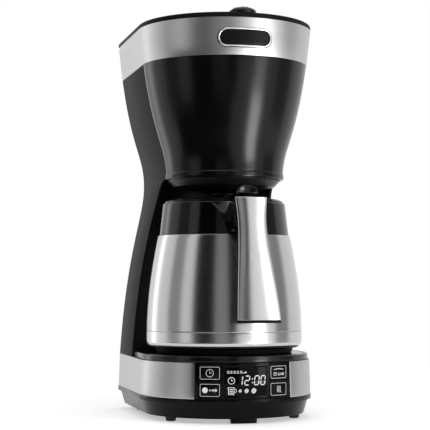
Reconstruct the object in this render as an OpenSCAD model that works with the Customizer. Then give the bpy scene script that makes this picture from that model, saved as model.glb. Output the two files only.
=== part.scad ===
// Drip coffee maker with a vacuum carafe.
// +Z is up, the front faces -Y, and the machine stands on Z = 0.

/* [Body] */
// Half width of the body under the lid
top_half_w = 87.2; // [84:0.2:90]
// Half width of the body at the waist
waist_half_w = 59.3; // [58.4:0.1:61]
// Half width of the body on top of the base
base_half_w = 85; // [84.4:0.2:87]
// Height of the waist, where the brew head ends
waist_z = 236; // [234.5:0.5:239]
// Height of the upper edge of the steel top band
band_top_z = 386; // [380:1:394]
// Distance from the carafe's axis to the back face
rear_reach = 118; // [116:1:128]
// Thickness of the plastic walls
wall = 2.5; // [2:0.1:3]
// Height of the steel top band
top_band_h = 35.6; // [28:0.2:40]
// Thickness of the steel bands
band_t = 1; // [0.7:0.1:1.4]

/* [Base] */
// Height of the base at its steel band's upper edge
base_top_z = 57.5; // [56:0.5:59]
// Height of the base at its steel band's lower edge
band_low_z = 23.3; // [22:0.1:25]
// Height of the deck that the carafe stands on
deck_z = 63.5; // [62:0.5:64.5]
// How far the pan's lower edge is set in from the base
pan_in = 5.5; // [3:0.5:7]
// Height of the feet under the pan
foot_h = 4.5; // [3.5:0.5:6]
// Half angle of the control panel
panel_half_a = 33; // [31.5:0.5:36]
// Angle of the key columns from the front
key_a = 23.2; // [22.2:0.2:24.2]
// Half angle of one key
key_half_a = 6.8; // [5.5:0.1:7.2]
// Height of one key
key_h = 13; // [11:0.5:14]
// Distance between the two rows of keys
key_pitch = 16.1; // [15.5:0.1:17]
// Travel of a key
key_travel = 0.8; // [0.4:0.1:1.2]

/* [Brew head] */
// Height of the ring around the lower edge of the brew head
ring_h = 6; // [4:0.5:8]
// Height of the lid's rim
lid_h = 5; // [4:0.5:7]
// Radius of the lid's grip
knob_r = 13.5; // [11:0.5:16]
// Height of the lid's grip
knob_h = 7; // [6:0.5:12]
// Outer radius of the filter basket's flange
basket_flange_r = 66; // [62:0.5:67]
// Outer radius of the filter basket at its floor
basket_low_r = 44; // [36:1:46]
// Bore of the cord inlet at the back
cord_bore_r = 3.6; // [3:0.1:4.5]

/* [Carafe] */
// Largest radius of the flask
flask_r = 77.7; // [76:0.1:78.4]
// Radius of the collar where it meets the flask
collar_low_r = 65; // [64:0.5:66]
// Radius of the collar's upper edge
collar_top_r = 60.6; // [59:0.2:61.5]
// Height of the seam between flask and collar
collar_z = 180; // [176:1:184]
// Height of the collar's upper edge
collar_top_z = 212.5; // [209:0.5:213]
// Height of the seam between flask and base cup
cup_z = 85.4; // [82:0.2:90]
// Radius of the carafe's mouth
mouth_r = 41; // [38:0.5:44]
// How far the handle's lower end stands from the carafe's axis
handle_reach = 136; // [132:1:142]
// Distance from the axis to the handle's upper end
handle_top_reach = 107; // [104:1:112]
// Width of the handle at its lower end
handle_low_w = 41; // [34:1:44]
// Width of the handle at its grip
handle_grip_w = 27; // [24:1:30]
// Height of the handle's lower end
handle_low_z = 96.5; // [86:0.5:104]

/* [Hidden] */
$fn = 96;
steps = 14;                                   // straight pieces along each curve of the body
fit = 0.3;                                    // gap between parts that lift out or turn
seat = 0.05;                                  // gap between parts that are screwed together
axis_y = (handle_reach - rear_reach) / 2;     // the carafe's axis, which centres the part's box on Y
band_low_top_z = band_top_z - top_band_h;     // lower edge of the steel top band
lip_half_w = base_half_w + 1.5;               // widest edge, under the base's steel band
pan_half_w = base_half_w - pan_in;               // half width of the pan at its lower edge
pan_low_z = foot_h;                           // underside of the pan
lid_top_z = band_top_z + lid_h;
column_y = 47.5;                              // front lips of the column
ring_low_z = waist_z;
ring_top_z = waist_z + ring_h;
deck_half_w = base_half_w - 1.5;
frame_half_w = base_half_w + 0.3 - band_t - seat;  // outside of the base's inner frame
tank_front_y = 72;                            // front face of the tank beside the basket
hinge_y = rear_reach - 3.5;
hinge_z = lid_top_z - 2.5;
hinge_r = 1.2;
hinge_sweep = 4.7;                            // room that the lid's rear edge turns in
play = 0.05;                                  // gap round a pin
lid_gap = 0.4;                                // gap under the lid
panel_r = base_half_w + 0.9;                  // outer face of the control panel
key_mid_z = (base_top_z + band_low_z) / 2 - 0.3;
spout_r = 13;                                 // the brew head's drip spout
spout_low_z = waist_z - 17;
carafe_low_z = deck_z + fit;
carafe_foot_h = 5;
cover_t = 1.6;                                // steel skin of the handle
lid_face_z = collar_top_z + 3.4;              // top of the carafe's lid
valve_y = -24;                                // pour valve, in front of the axis
lever_y = -50;                                // lever's pin
lever_z = lid_face_z + 0.2;
pad_y = -(handle_top_reach - 16);             // front end of the lever's thumb pad

// ---------- Curves of the body ----------
function bezier(p, t) = (1 - t)^3 * p[0] + 3 * t * (1 - t)^2 * p[1] + 3 * t^2 * (1 - t) * p[2] + t^3 * p[3];

rise = band_top_z - waist_z;
fall = waist_z - base_top_z;
upper_curve = [[waist_half_w, waist_z], [waist_half_w, waist_z + 0.253 * rise],
    [waist_half_w + 0.61 * (top_half_w - waist_half_w), waist_z + 0.26 * rise], [top_half_w, band_top_z]];
lower_curve = [[base_half_w, base_top_z], [base_half_w - 0.288 * (base_half_w - waist_half_w),
    base_top_z + 0.636 * fall],
    [waist_half_w, waist_z - 0.187 * fall], [waist_half_w, waist_z]];
body_points = concat(
    [[lip_half_w, band_low_z]],
    [for (i = [0:steps]) bezier(lower_curve, i / steps)],
    [for (i = [1:steps]) bezier(upper_curve, i / steps)]);
body_table = [for (p = body_points) [p[1], p[0]]];

// Half width of the body at a height
function body_w(z) = lookup(z, body_table);

// The body's outline between two heights, set in by some distance
function body_line(z0, z1, inset = 0) = concat(
    [[body_w(z0) - inset, z0]],
    [for (p = body_points) if (p[1] > z0 + 0.01 && p[1] < z1 - 0.01) [p[0] - inset, p[1]]],
    [[body_w(z1) - inset, z1]]);

// Radius of the carafe at a height, from the cup to the collar
flask_top_r = collar_low_r + 1.2;
flask_curve = [[flask_r, cup_z - 8], [flask_r + 0.4, cup_z + 22], [flask_r - 3.5, collar_z - 38],
    [flask_top_r, collar_z]];
flask_points = [for (i = [0:steps]) bezier(flask_curve, i / steps)];
flask_table = [for (p = flask_points) [p[1], p[0]]];
function flask_w(z) = lookup(z, flask_table);
function flask_line(z0, z1, inset = 0) = concat(
    [[flask_w(z0) - inset, z0]],
    [for (p = flask_points) if (p[1] > z0 + 0.01 && p[1] < z1 - 0.01) [p[0] - inset, p[1]]],
    [[flask_w(z1) - inset, z1]]);

// Lines of the handle, as half width and as distance from the axis at each height
handle_top_z = collar_top_z + 1.8;
handle_h = handle_top_z - handle_low_z;
grip_z = handle_top_z - 0.2 * handle_h;
side_curve = [[handle_reach, handle_low_z], [handle_reach - 0.34 * (handle_reach - handle_top_reach),
    handle_low_z + 0.4 * handle_h],
    [handle_top_reach + 3, handle_top_z - 0.3 * handle_h], [handle_top_reach, handle_top_z]];
low_width_curve = [[handle_low_w / 2, handle_low_z], [handle_low_w / 2 - 1.7, handle_low_z + 0.3 * handle_h],
    [handle_grip_w / 2, grip_z - 0.22 * handle_h], [handle_grip_w / 2, grip_z]];
top_width_curve = [[handle_grip_w / 2, grip_z], [handle_grip_w / 2, grip_z + 5],
    [handle_grip_w / 2 + 1.2, handle_top_z - 6],
    [handle_grip_w / 2 + 1.9, handle_top_z]];
side_points = [for (i = [0:steps]) bezier(side_curve, i / steps)];
width_points = concat([for (i = [0:steps - 4]) bezier(low_width_curve, i / (steps - 4))],
    [for (i = [1:4]) bezier(top_width_curve, i / 4)]);
side_table = [for (p = side_points) [p[1], p[0]]];
function handle_side(z) = lookup(z, side_table);

// ---------- Shapes that repeat ----------
// Puts a piece that is drawn around the carafe's axis in its place
module on_axis() { translate([0, axis_y, 0]) children(); }

// A solid with a round front and flat sides, from points [half width, height] going up
module d_solid(line, rear) {
    low = line[0][1];
    high = line[len(line) - 1][1];
    closed = concat([[0, low]], line, [[0, high]]);
    mirrored = concat(line, [for (i = [len(line) - 1:-1:0]) [-line[i][0], line[i][1]]]);
    rotate_extrude(angle = 180, start = 180) polygon(closed);
    translate([0, rear, 0]) rotate([90, 0, 0]) linear_extrude(rear) polygon(mirrored);
}

// A straight-sided solid of the same plan
module d_plate(half_w, rear, z0, z1) { d_solid([[half_w, z0], [half_w, z1]], rear); }

// A ring sector centred on the front
module front_arc(r0, r1, half_a, z0, z1) {
    rotate_extrude(angle = 2 * half_a, start = 270 - half_a)
        polygon([[r0, z0], [r1, z0], [r1, z1], [r0, z1]]);
}

// A solid of revolution between two outlines that go up
module turned_shell(outer, inner) {
    rotate_extrude() polygon(concat(outer, [for (i = [len(inner) - 1:-1:0]) inner[i]]));
}

// A box from its lowest and highest corner
module block(low, high) { translate(low) cube(high - low); }

// A bent round hose through its points, with a ball at each bend
module hose(points, r) {
    for (i = [0:len(points) - 2]) {
        run = points[i + 1] - points[i];
        translate(points[i]) rotate([0, acos(run[2] / norm(run)), atan2(run[1], run[0])])
            cylinder(r = r, h = norm(run));
    }
    for (i = [1:len(points) - 2]) translate(points[i]) sphere(r = r + 0.8);
}

// A pan head screw whose head rests at Z = 0 and whose shank points up
module screw(r, h) {
    cylinder(r = r, h = h);
    translate([0, 0, -1.6]) cylinder(r = 2 * r, h = 1.6);
}

// A round wire spring drawn as closed rings
module ring_spring(r, wire, h, turns) {
    for (i = [0:turns - 1]) translate([0, 0, wire + i * (h - 2 * wire) / (turns - 1)])
        rotate_extrude() translate([r, 0]) circle(r = wire);
}

// ---------- Base ----------
foot_out = pan_half_w - 17.5;                 // front feet, from the middle
foot_back = pan_half_w - 11.5;                // rear feet, from the middle
foot_spots = [[-foot_out, -36], [foot_out, -36], [-foot_back, rear_reach - 32],
    [foot_back, rear_reach - 32]];
foot_r = 5.5;
screw_out = base_half_w - 19;                 // screws at the sides, from the middle
screw_back = base_half_w - 25;                // screws near the back, from the middle
screw_spots = [[-screw_out, 12], [screw_out, 12], [-screw_back, rear_reach - 22],
    [screw_back, rear_reach - 22]];
screw_r = 1.5;
boss_r = 4.2;
lug_half_a = 9.5;

module base_pan() {
    pan_line = [[pan_half_w, pan_low_z], [base_half_w - 1.2, band_low_z - 4.5],
        [lip_half_w + 0.3, band_low_z - 4.5],
        [lip_half_w + 0.3, band_low_z - seat]];
    hollow_line = [[pan_half_w - wall, pan_low_z + wall], [base_half_w - 1.2 - wall, band_low_z - 4.5],
        [base_half_w - 1.2 - wall, band_low_z]];
    color("black") on_axis() {
        difference() {
            d_solid(pan_line, rear_reach);
            d_solid(hollow_line, rear_reach - wall);
            for (s = screw_spots) translate([s[0], s[1], pan_low_z - 1]) {
                cylinder(r = screw_r, h = 30);
                cylinder(r = 2 * screw_r + 0.6, h = 3);
            }
            for (s = foot_spots) translate([s[0], s[1], pan_low_z - 1]) cylinder(r = foot_r - 2, h = 3);
            for (i = [-4:4]) block([i * 7 - 1.5, 30, pan_low_z - 1], [i * 7 + 1.5, 62, pan_low_z + wall + 1]);
        }
        for (s = screw_spots) translate([s[0], s[1], pan_low_z + 2]) difference() {
            cylinder(r = boss_r, h = band_low_z - pan_low_z - 2 - seat);
            translate([0, 0, -1]) cylinder(r = screw_r, h = 40);
            translate([0, 0, -1]) cylinder(r = 2 * screw_r + 0.6, h = 1);
        }
        front_arc(pan_half_w - 14, pan_half_w - 1, lug_half_a, 0, pan_low_z + 1);
    }
}

module feet() {
    color("dimgray") on_axis() for (s = foot_spots) translate([s[0], s[1], 0]) {
        cylinder(r1 = foot_r - 0.8, r2 = foot_r, h = foot_h - seat);
        cylinder(r = foot_r - 2 - seat, h = foot_h + 1.5);
    }
}

module base_screws() {
    color("silver") on_axis() for (s = screw_spots) translate([s[0], s[1], pan_low_z + 2])
        screw(screw_r - seat, 24);
}

// Inner wall that carries the steel band, the panel and the deck
module base_frame() {
    color("black") on_axis() difference() {
        union() {
            difference() {
                d_plate(frame_half_w, rear_reach, band_low_z, base_top_z - seat);
                d_plate(frame_half_w - wall, rear_reach - wall, band_low_z - 1, base_top_z + 1);
                front_arc(frame_half_w - wall - 1, frame_half_w + 1, panel_half_a - 2, band_low_z + 2,
                    base_top_z - 2);
            }
            for (s = screw_spots) translate([s[0], s[1], band_low_z])
                cylinder(r = boss_r, h = base_top_z - band_low_z - seat);
            // ribs from the screw bosses to the walls
            for (side = [-1, 1]) {
                rib_mid = side * (screw_out + frame_half_w - 1) / 2;
                rib_half = (frame_half_w - 1 - screw_out) / 2;
                block([rib_mid - rib_half, 10, band_low_z], [rib_mid + rib_half, 14, base_top_z - seat]);
                block([side * screw_back - 1.2, rear_reach - 20, band_low_z],
                    [side * screw_back + 1.2, rear_reach - 1, base_top_z - seat]);
            }
        }
        for (s = screw_spots) translate([s[0], s[1], band_low_z - 1]) cylinder(r = screw_r, h = 12);
        translate([0, rear_reach - wall - 1, cord_z]) rotate([-90, 0, 0])
            cylinder(r = cord_outer_r, h = 10);
    }
}

// Steel band round the front and the sides, open where the panel sits
module base_band() {
    outer = [[lip_half_w, band_low_z], [base_half_w + 0.3, base_top_z - seat]];
    color("silver") on_axis() difference() {
        d_solid(outer, rear_reach - 1);
        d_plate(frame_half_w + seat, rear_reach, band_low_z - 1, base_top_z + 1);
        front_arc(frame_half_w - 2, lip_half_w + 4, panel_half_a + 0.3, band_low_z - 1, base_top_z + 1);
    }
}

module key_places() {
    for (a = [-key_a, key_a]) for (row = [1, -1]) rotate([0, 0, a])
        translate([0, 0, key_mid_z + row * key_pitch / 2]) children();
}

module key_hole(gap) {
    front_arc(panel_r - 6, panel_r + 1, key_half_a + gap, -key_h / 2 - gap, key_h / 2 + gap);
}

window_half_a = 14.2;
window_h = 27;
module control_panel() {
    color("black") on_axis() difference() {
        front_arc(frame_half_w + seat, panel_r, panel_half_a, band_low_z, base_top_z - seat);
        key_places() key_hole(0.25);
        front_arc(panel_r - 0.9, panel_r + 1, window_half_a, key_mid_z - window_h / 2,
            key_mid_z + window_h / 2);
        front_arc(frame_half_w - 1, panel_r + 1, window_half_a - 2, key_mid_z - window_h / 2 + 2,
            key_mid_z + window_h / 2 - 2);
    }
}

module display_window() {
    color("black") on_axis() front_arc(panel_r - 0.85, panel_r, window_half_a - 0.05,
        key_mid_z - window_h / 2 + seat,
        key_mid_z + window_h / 2 - seat);
}

// One key: a curved cap with a stem that reaches its switch
key_stem_y = frame_half_w - 7;
module key(a, row) {
    color("black") on_axis() rotate([0, 0, a]) translate([0, 0, key_mid_z + row * key_pitch / 2]) {
        front_arc(panel_r - 2, panel_r, key_half_a, -key_h / 2, key_h / 2);
        block([-2.5, -(panel_r - 1), -2], [2.5, -key_stem_y, 2]);
    }
}
module clock_key() { key(-key_a, 1); }
module aroma_key() { key(-key_a, -1); }
module power_key() { key(key_a, 1); }
module descale_key() { key(key_a, -1); }

board_y = key_stem_y * cos(key_a) - key_travel - 9;
switch_front_r = key_stem_y - key_travel - 0.1;
module key_switches() {
    color("dimgray") on_axis() for (a = [-key_a, key_a]) for (row = [1, -1])
        translate([0, 0, key_mid_z + row * key_pitch / 2])
        intersection() {
            translate([key_stem_y * sin(a), 0, 0]) block([-4, -key_stem_y, -3], [4, -board_y - seat, 3]);
            rotate([0, 0, a]) block([-12, -switch_front_r, -4], [12, 0, 4]);
        }
}

module control_board() {
    color("darkgreen") on_axis() difference() {
        block([-46, -board_y, band_low_z + 3], [46, -board_y + 1.6, base_top_z - 4]);
        for (side = [-1, 1]) translate([side * 42, -board_y - 1, key_mid_z]) rotate([-90, 0, 0])
            cylinder(r = 1.6, h = 5);
    }
}

// Pillars that hold the board against the frame's floor
module board_clips() {
    color("black") on_axis() for (side = [-1, 1]) {
        block([side * 42 - 4, -board_y + 1.6 + seat, pan_low_z + wall + seat],
            [side * 42 + 4, -board_y + 6, base_top_z - 6]);
        translate([side * 42, -board_y - 1.2, key_mid_z]) rotate([-90, 0, 0]) cylinder(r = 1.5, h = 5);
    }
}

module display_module() {
    color("lightsteelblue") on_axis() block([-19, -(panel_r - 8), key_mid_z - 11],
        [19, -board_y - seat, key_mid_z + 11]);
}

// Cord inlet with its bore for the mains lead
cord_z = 38;
cord_outer_r = 7;
module cord_inlet() {
    color("black") on_axis() translate([0, rear_reach, cord_z]) rotate([90, 0, 0]) difference() {
        union() {
            cylinder(r = cord_outer_r - seat, h = 14);
            translate([0, 0, wall + seat]) cylinder(r = cord_outer_r + 2.5, h = 3);
        }
        translate([0, 0, -1]) cylinder(r = cord_bore_r, h = 20);
    }
}

// ---------- Heater and water path in the base ----------
heater_z = 36;
heater_r = 49;                                // middle of the heater's ring
heater_half_w = 6;
heater_y = 4;
heater_gap_a = 40;                            // half angle of the ring's open stretch at the back
tube_r = 4;
tube_l = 14;
hose_r = 4.2;

module heater() {
    color("silver") on_axis() translate([0, heater_y, 0]) rotate_extrude(angle = 360 - 2 * heater_gap_a,
        start = 90 + heater_gap_a)
        polygon([[heater_r - heater_half_w, heater_z - 6], [heater_r + heater_half_w, heater_z - 6],
            [heater_r + heater_half_w, heater_z + 8], [heater_r - heater_half_w, heater_z + 8]]);
}

// A point on the line of the heater's end pipe, at some distance from the ring's end face
function pipe_point(side, l) = [side * (heater_r * sin(heater_gap_a) - l * cos(heater_gap_a)),
    heater_y + heater_r * cos(heater_gap_a) + l * sin(heater_gap_a), heater_z + 1];

module heater_tube() {
    color("lightgray") on_axis() for (side = [-1, 1]) hose([pipe_point(side, seat),
        pipe_point(side, tube_l)], tube_r);
}

module heater_posts() {
    color("dimgray") on_axis() translate([0, heater_y, 0]) for (a = [200, 270, 340])
        translate([heater_r * cos(a), heater_r * sin(a), pan_low_z + wall + seat])
            cylinder(r = 4, h = heater_z - 6 - pan_low_z - wall - 2 * seat);
}

module thermostats() {
    color("tan") on_axis() translate([0, heater_y, 0]) for (a = [225, 315])
        translate([heater_r * cos(a), heater_r * sin(a), heater_z + 8 + seat]) {
            cylinder(r = 6, h = 4);
            translate([0, 0, 4]) cylinder(r = 8, h = 2.2);
        }
}

// One-way valve under the tank, which the tank's nozzle stands on
valve_spot = [-28, rear_reach - 23];
valve_low_z = 24;
valve_top_z = 56;
module check_valve() {
    color("white") on_axis() translate([valve_spot[0], valve_spot[1], 0]) difference() {
        union() {
            translate([0, 0, valve_low_z]) cylinder(r = 4, h = valve_top_z - valve_low_z);
            translate([0, 0, valve_low_z + 6]) cylinder(r = 7, h = 18);
        }
        translate([0, 0, valve_low_z - 1]) cylinder(r = 2, h = valve_top_z - valve_low_z + 2);
    }
}

module cold_hose() {
    color("whitesmoke") on_axis() hose([pipe_point(-1, tube_l + seat), pipe_point(-1, tube_l + 8),
        [valve_spot[0], 76, 15], [valve_spot[0], valve_spot[1], 15],
            [valve_spot[0], valve_spot[1], valve_low_z - seat]], hose_r);
}

riser_x = 46;
riser_y = rear_reach - 18;
riser_top_z = band_top_z - 26;
module riser_hose() {
    color("whitesmoke") on_axis() hose([pipe_point(1, tube_l + seat), pipe_point(1, tube_l + 8),
        [riser_x, riser_y - 8, heater_z + 1], [riser_x, riser_y, heater_z + 12],
            [riser_x, riser_y, riser_top_z]], hose_r);
}

// ---------- Deck and column ----------
module base_deck() {
    deck_line = [[deck_half_w, base_top_z], [deck_half_w, deck_z - 1], [deck_half_w - 1, deck_z]];
    inner_half_w = base_half_w - wall - 1.8;
    color("black") on_axis() difference() {
        union() {
            d_solid(deck_line, column_y - seat);
            block([-inner_half_w, -0.01, base_top_z], [inner_half_w, rear_reach - wall - 1, deck_z]);
        }
        // hollow underside
        d_plate(frame_half_w - wall - 3, 30, base_top_z - 1, deck_z - wall);
        // groove round the carafe's place
        turned_shell([[flask_r + 1.4, deck_z - 0.6], [flask_r + 2.4, deck_z - 0.6],
            [flask_r + 2.4, deck_z + 1]],
            [[flask_r + 1.4, deck_z - 0.6], [flask_r + 1.4, deck_z + 1]]);
        translate([valve_spot[0], valve_spot[1], base_top_z - 1]) cylinder(r = 9, h = 20);
        translate([riser_x, riser_y, base_top_z - 1]) cylinder(r = 6, h = 20);
    }
}

// Side view of the bay's edge from the deck up, as points [y, z]
bay_curve = [[column_y, collar_z - 2], [column_y, collar_z + 25], [column_y - 7.5, ring_low_z - 4],
    [column_y - 31.5, ring_low_z]];
bay_edge = [for (i = [0:8]) bezier(bay_curve, i / 8)];

// Everything behind the bay's edge, moved back by some distance
module behind_bay(back, rear, z0, z1) {
    edge = concat([[column_y + back, z0]], [for (p = bay_edge) if (p[1] < z1 - 0.01) [p[0] + back, p[1]]],
        [[bay_edge[8][0] + back, z1], [rear, z1], [rear, z0]]);
    translate([-100, 0, 0]) rotate([90, 0, 90]) linear_extrude(200) polygon(edge);
}

// Hollow behind the carafe, as a solid of revolution
recess_gap = 4;
recess_neck_r = collar_top_r + recess_gap + 5;
recess_points = concat([[flask_r + recess_gap, deck_z - 2], [flask_r + recess_gap, cup_z]],
    [for (p = flask_points) if (p[1] > cup_z + 4 && p[1] < collar_z - 4) [p[0] + recess_gap, p[1]]],
    [[flask_top_r + recess_gap, collar_z], [recess_neck_r, waist_z - 17], [recess_neck_r, waist_z + 1]]);
module recess_solid(grow = 0) {
    line = [for (p = recess_points) [p[0] + grow, p[1]]];
    rotate_extrude() polygon(concat([[0, line[0][1]]], line, [[0, line[len(line) - 1][1]]]));
}

// Column front: concave behind the carafe, with a flat lip each side
column_back_y = flask_r + recess_gap + wall + 1;
module column_front() {
    z0 = deck_z + seat;
    z1 = ring_low_z - seat;
    color("black") on_axis() difference() {
        intersection() {
            d_solid(body_line(z0, z1, wall + 0.2), rear_reach);
            behind_bay(0, column_back_y, z0, z1);
        }
        recess_solid();
        difference() {
            behind_bay(wall, column_back_y + 1, z0 - 1, z1 + 1);
            recess_solid(wall);
        }
    }
}

// Side walls and back of the machine, from the base's steel band to the top band
module rear_housing() {
    z0 = base_top_z;
    z1 = band_low_top_z - seat;
    outer = body_line(z0, z1);
    inner = concat([[body_w(z0) - wall, z0 - 1]], body_line(z0, z1, wall), [[body_w(z1) - wall, z1 + 1]]);
    both = function (line) concat(line, [for (i = [len(line) - 1:-1:0]) [-line[i][0], line[i][1]]]);
    color("black") on_axis() difference() {
        intersection() {
            translate([0, rear_reach, 0]) rotate([90, 0, 0]) linear_extrude(rear_reach) polygon(both(outer));
            union() {
                behind_bay(0, rear_reach + 1, z0 - 1, ring_low_z);
                block([-100, -1, ring_low_z - 0.01], [100, rear_reach + 1, z1 + 1]);
            }
        }
        translate([0, rear_reach - wall, 0]) rotate([90, 0, 0]) linear_extrude(rear_reach)
            polygon(both(inner));
        block([-slot_half_w, rear_reach - wall - 1, slot_low_z], [slot_half_w, rear_reach + 1, slot_high_z]);
    }
}

// Window in the back that shows the water level
slot_half_w = 7;
slot_low_z = deck_z + 46.5;
slot_high_z = band_low_top_z - 20.4;
module level_window() {
    color("lightgray") on_axis() {
        block([-slot_half_w + seat, rear_reach - wall - 0.5, slot_low_z + seat],
            [slot_half_w - seat, rear_reach - 0.4, slot_high_z - seat]);
        block([-slot_half_w - 3, rear_reach - wall - 1.2, slot_low_z - 3],
            [slot_half_w + 3, rear_reach - wall - seat, slot_high_z + 3]);
    }
}

// ---------- Water tank ----------
tank_t = 1.8;
tank_rear_y = rear_reach - wall - 1.6;
tank_low_z = deck_z + fit;
tank_step_z = waist_z + 8;
tank_high_z = band_top_z - 12;
tank_left = -waist_half_w + wall + 3;
tank_right = riser_x - hose_r - 2.8;
module water_tank() {
    color("lightcyan") on_axis() difference() {
        union() {
            block([tank_left, column_back_y + 0.2, tank_low_z], [tank_right, tank_rear_y, tank_step_z]);
            block([tank_left, tank_front_y, tank_step_z - 6], [tank_right, tank_rear_y, tank_high_z]);
            translate([valve_spot[0], valve_spot[1], valve_top_z + seat])
                cylinder(r = 6, h = tank_low_z - valve_top_z);
        }
        block([tank_left + tank_t, column_back_y + 0.2 + tank_t, tank_low_z + tank_t],
            [tank_right - tank_t, tank_rear_y - tank_t, tank_high_z + 1]);
        block([tank_left + tank_t, tank_front_y + tank_t, tank_step_z - 6 + tank_t],
            [tank_right - tank_t, tank_rear_y - tank_t, tank_high_z + 1]);
        translate([valve_spot[0], valve_spot[1], valve_top_z - 1]) cylinder(r = 3, h = 20);
    }
}

// ---------- Brew head ----------
module funnel_shell() {
    z0 = ring_top_z;
    z1 = band_low_top_z - seat;
    outer = body_line(z0, z1);
    inner = body_line(z0, z1, wall);
    color("black") on_axis() rotate_extrude(angle = 180, start = 180)
        polygon(concat(outer, [for (i = [len(inner) - 1:-1:0]) inner[i]]));
}

// Floor of the brew head with its ring, its sloping underside and the drip spout
floor_t = 2.5;
module brew_floor() {
    r = body_w(ring_top_z);
    flat_half_w = waist_half_w - wall - 0.2;
    color("black") on_axis() difference() {
        union() {
            rotate_extrude() polygon([[0, spout_low_z], [spout_r - 2, spout_low_z],
                [spout_r, spout_low_z + 2], [spout_r, waist_z - 14],
                [r - 9, waist_z - 7], [r - 3.4, waist_z - 1], [r - 3.4, ring_low_z + 1],
                    [0, ring_low_z + 1]]);
            block([-flat_half_w, 0, ring_low_z], [flat_half_w, tank_front_y - 2, ring_low_z + floor_t]);
            translate([0, 0, ring_low_z]) cylinder(r = flat_half_w, h = floor_t);
        }
        rotate_extrude() polygon([[0, waist_z - 11], [spout_r - 3, waist_z - 11], [r - 11, waist_z - 4.5],
            [r - 11, ring_low_z + floor_t + 1], [0, ring_low_z + floor_t + 1]]);
        translate([0, 0, spout_low_z - 1]) cylinder(r = 7, h = 30);
    }
}

module funnel_ring() {
    r = body_w(ring_top_z) + 0.6;
    color("black") on_axis() difference() {
        union() {
            rotate_extrude(angle = 180, start = 180)
                polygon([[r - wall - 0.4, ring_low_z], [r - 0.4, ring_low_z], [r, ring_low_z + 0.6],
                    [r, ring_top_z - 0.8],
                    [r - 0.5, ring_top_z - seat], [r - wall - 0.4, ring_top_z - seat]]);
        }
    }
}

// A sloping line that runs on straight for 1 mm past both ends, for a hollow
function straight_line(w0, w1, z0, z1) = [[w0, z0 - 1], [w0, z0], [w1, z1], [w1, z1 + 1]];

// Room that the lid's rear edge turns in
module hinge_room() {
    block([-100, hinge_y - hinge_sweep, hinge_z - hinge_sweep], [100, rear_reach + 1, band_top_z + 1]);
}

// Steel top band
module top_band() {
    z0 = band_low_top_z;
    z1 = band_top_z;
    outer = [[body_w(z0) + 0.3, z0], [body_w(z1) + 0.3, z1]];
    inner = straight_line(body_w(z0) + 0.3 - band_t, body_w(z1) + 0.3 - band_t, z0, z1);
    color("silver") on_axis() difference() {
        d_solid(outer, rear_reach - 1);
        d_solid(inner, rear_reach);
        hinge_room();
    }
}

// Plastic frame inside the top band, with the openings for basket and tank
shelf_z = band_top_z - 14;
shelf_t = 2.5;
ear_x = 26;
ear_half_w = 2.5;
module top_frame() {
    z0 = band_low_top_z;
    z1 = band_top_z;
    gap = band_t - 0.3 + seat;
    color("black") on_axis() {
        difference() {
            d_solid([[body_w(z0) - gap, z0], [body_w(z1) - gap, z1 - seat]], rear_reach);
            difference() {
                d_solid(straight_line(body_w(z0) - gap - wall, body_w(z1) - gap - wall, z0, z1),
                    rear_reach - wall);
                d_plate(top_half_w, rear_reach, shelf_z - shelf_t, shelf_z);
            }
            translate([0, 0, shelf_z - 10]) cylinder(r = basket_flange_r - 3, h = 20);
            block([tank_left - 1, tank_front_y - 1, shelf_z - 10],
                [tank_right + 1, rear_reach - wall - 1, shelf_z + 1]);
            translate([riser_x, riser_y, shelf_z - 10]) cylinder(r = hose_r + 0.8, h = 20);
            hinge_room();
        }
        for (side = [-1, 1]) difference() {
            block([side * ear_x - ear_half_w, hinge_y - 2.6, hinge_z - 10],
                [side * ear_x + ear_half_w, rear_reach - 0.6, hinge_z + 2]);
            translate([side * ear_x - 5, hinge_y, hinge_z]) rotate([0, 90, 0])
                cylinder(r = hinge_r + play, h = 10);
        }
    }
}

// ---------- Lid ----------
knuckle_half_w = ear_x - ear_half_w - 0.7;
module lid() {
    rim = [[top_half_w + 0.2, band_top_z + lid_gap], [top_half_w + 0.2, lid_top_z - 1.6],
        [top_half_w - 1.4, lid_top_z]];
    color("black") on_axis() difference() {
        union() {
            difference() {
                d_solid(rim, rear_reach);
                d_plate(top_half_w - wall, rear_reach - wall, band_top_z, lid_top_z - wall);
            }
            block([-knuckle_half_w, hinge_y - 3.5, band_top_z + lid_gap],
                [knuckle_half_w, rear_reach - 0.6, lid_top_z - 0.5]);
        }
        // notches for the frame's ears
        for (side = [-1, 1]) block([side * ear_x - ear_half_w - 0.7, hinge_y - 6, band_top_z - 1],
            [side * ear_x + ear_half_w + 0.7, rear_reach + 1, lid_top_z + 1]);
        translate([-40, hinge_y, hinge_z]) rotate([0, 90, 0]) cylinder(r = hinge_r + play, h = 80);
    }
}

module lid_pin() {
    color("silver") on_axis() translate([-ear_x - ear_half_w, hinge_y, hinge_z]) rotate([0, 90, 0])
        cylinder(r = hinge_r, h = 2 * (ear_x + ear_half_w));
}

// Round grip near the lid's front edge, with a ramp for the finger and grip ribs
knob_y = -(top_half_w - knob_r - 1.5);
module lid_knob() {
    rib_w = 1.2;
    rib_l = 9;
    color("black") on_axis() translate([0, knob_y, lid_top_z + seat]) {
        difference() {
            rotate_extrude() polygon([[0, 0], [knob_r, 0], [knob_r, 0.35 * knob_h],
                [knob_r - 1.2, 0.62 * knob_h], [knob_r - 4, 0.82 * knob_h],
                [knob_r - 8, 0.95 * knob_h], [0, 0.95 * knob_h]]);
            // finger ramp
            translate([-knob_r - 1, 0, 0.25 * knob_h]) rotate([0, -34, 0]) block([0, -30, 0], [30, 30, 30]);
        }
        for (i = [-1:1])
            translate([i * 2 * rib_w + 1, 0, 0]) block([-rib_w / 2, -rib_l / 2, 0.5], [rib_w / 2, rib_l / 2, knob_h]);
    }
}

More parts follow.
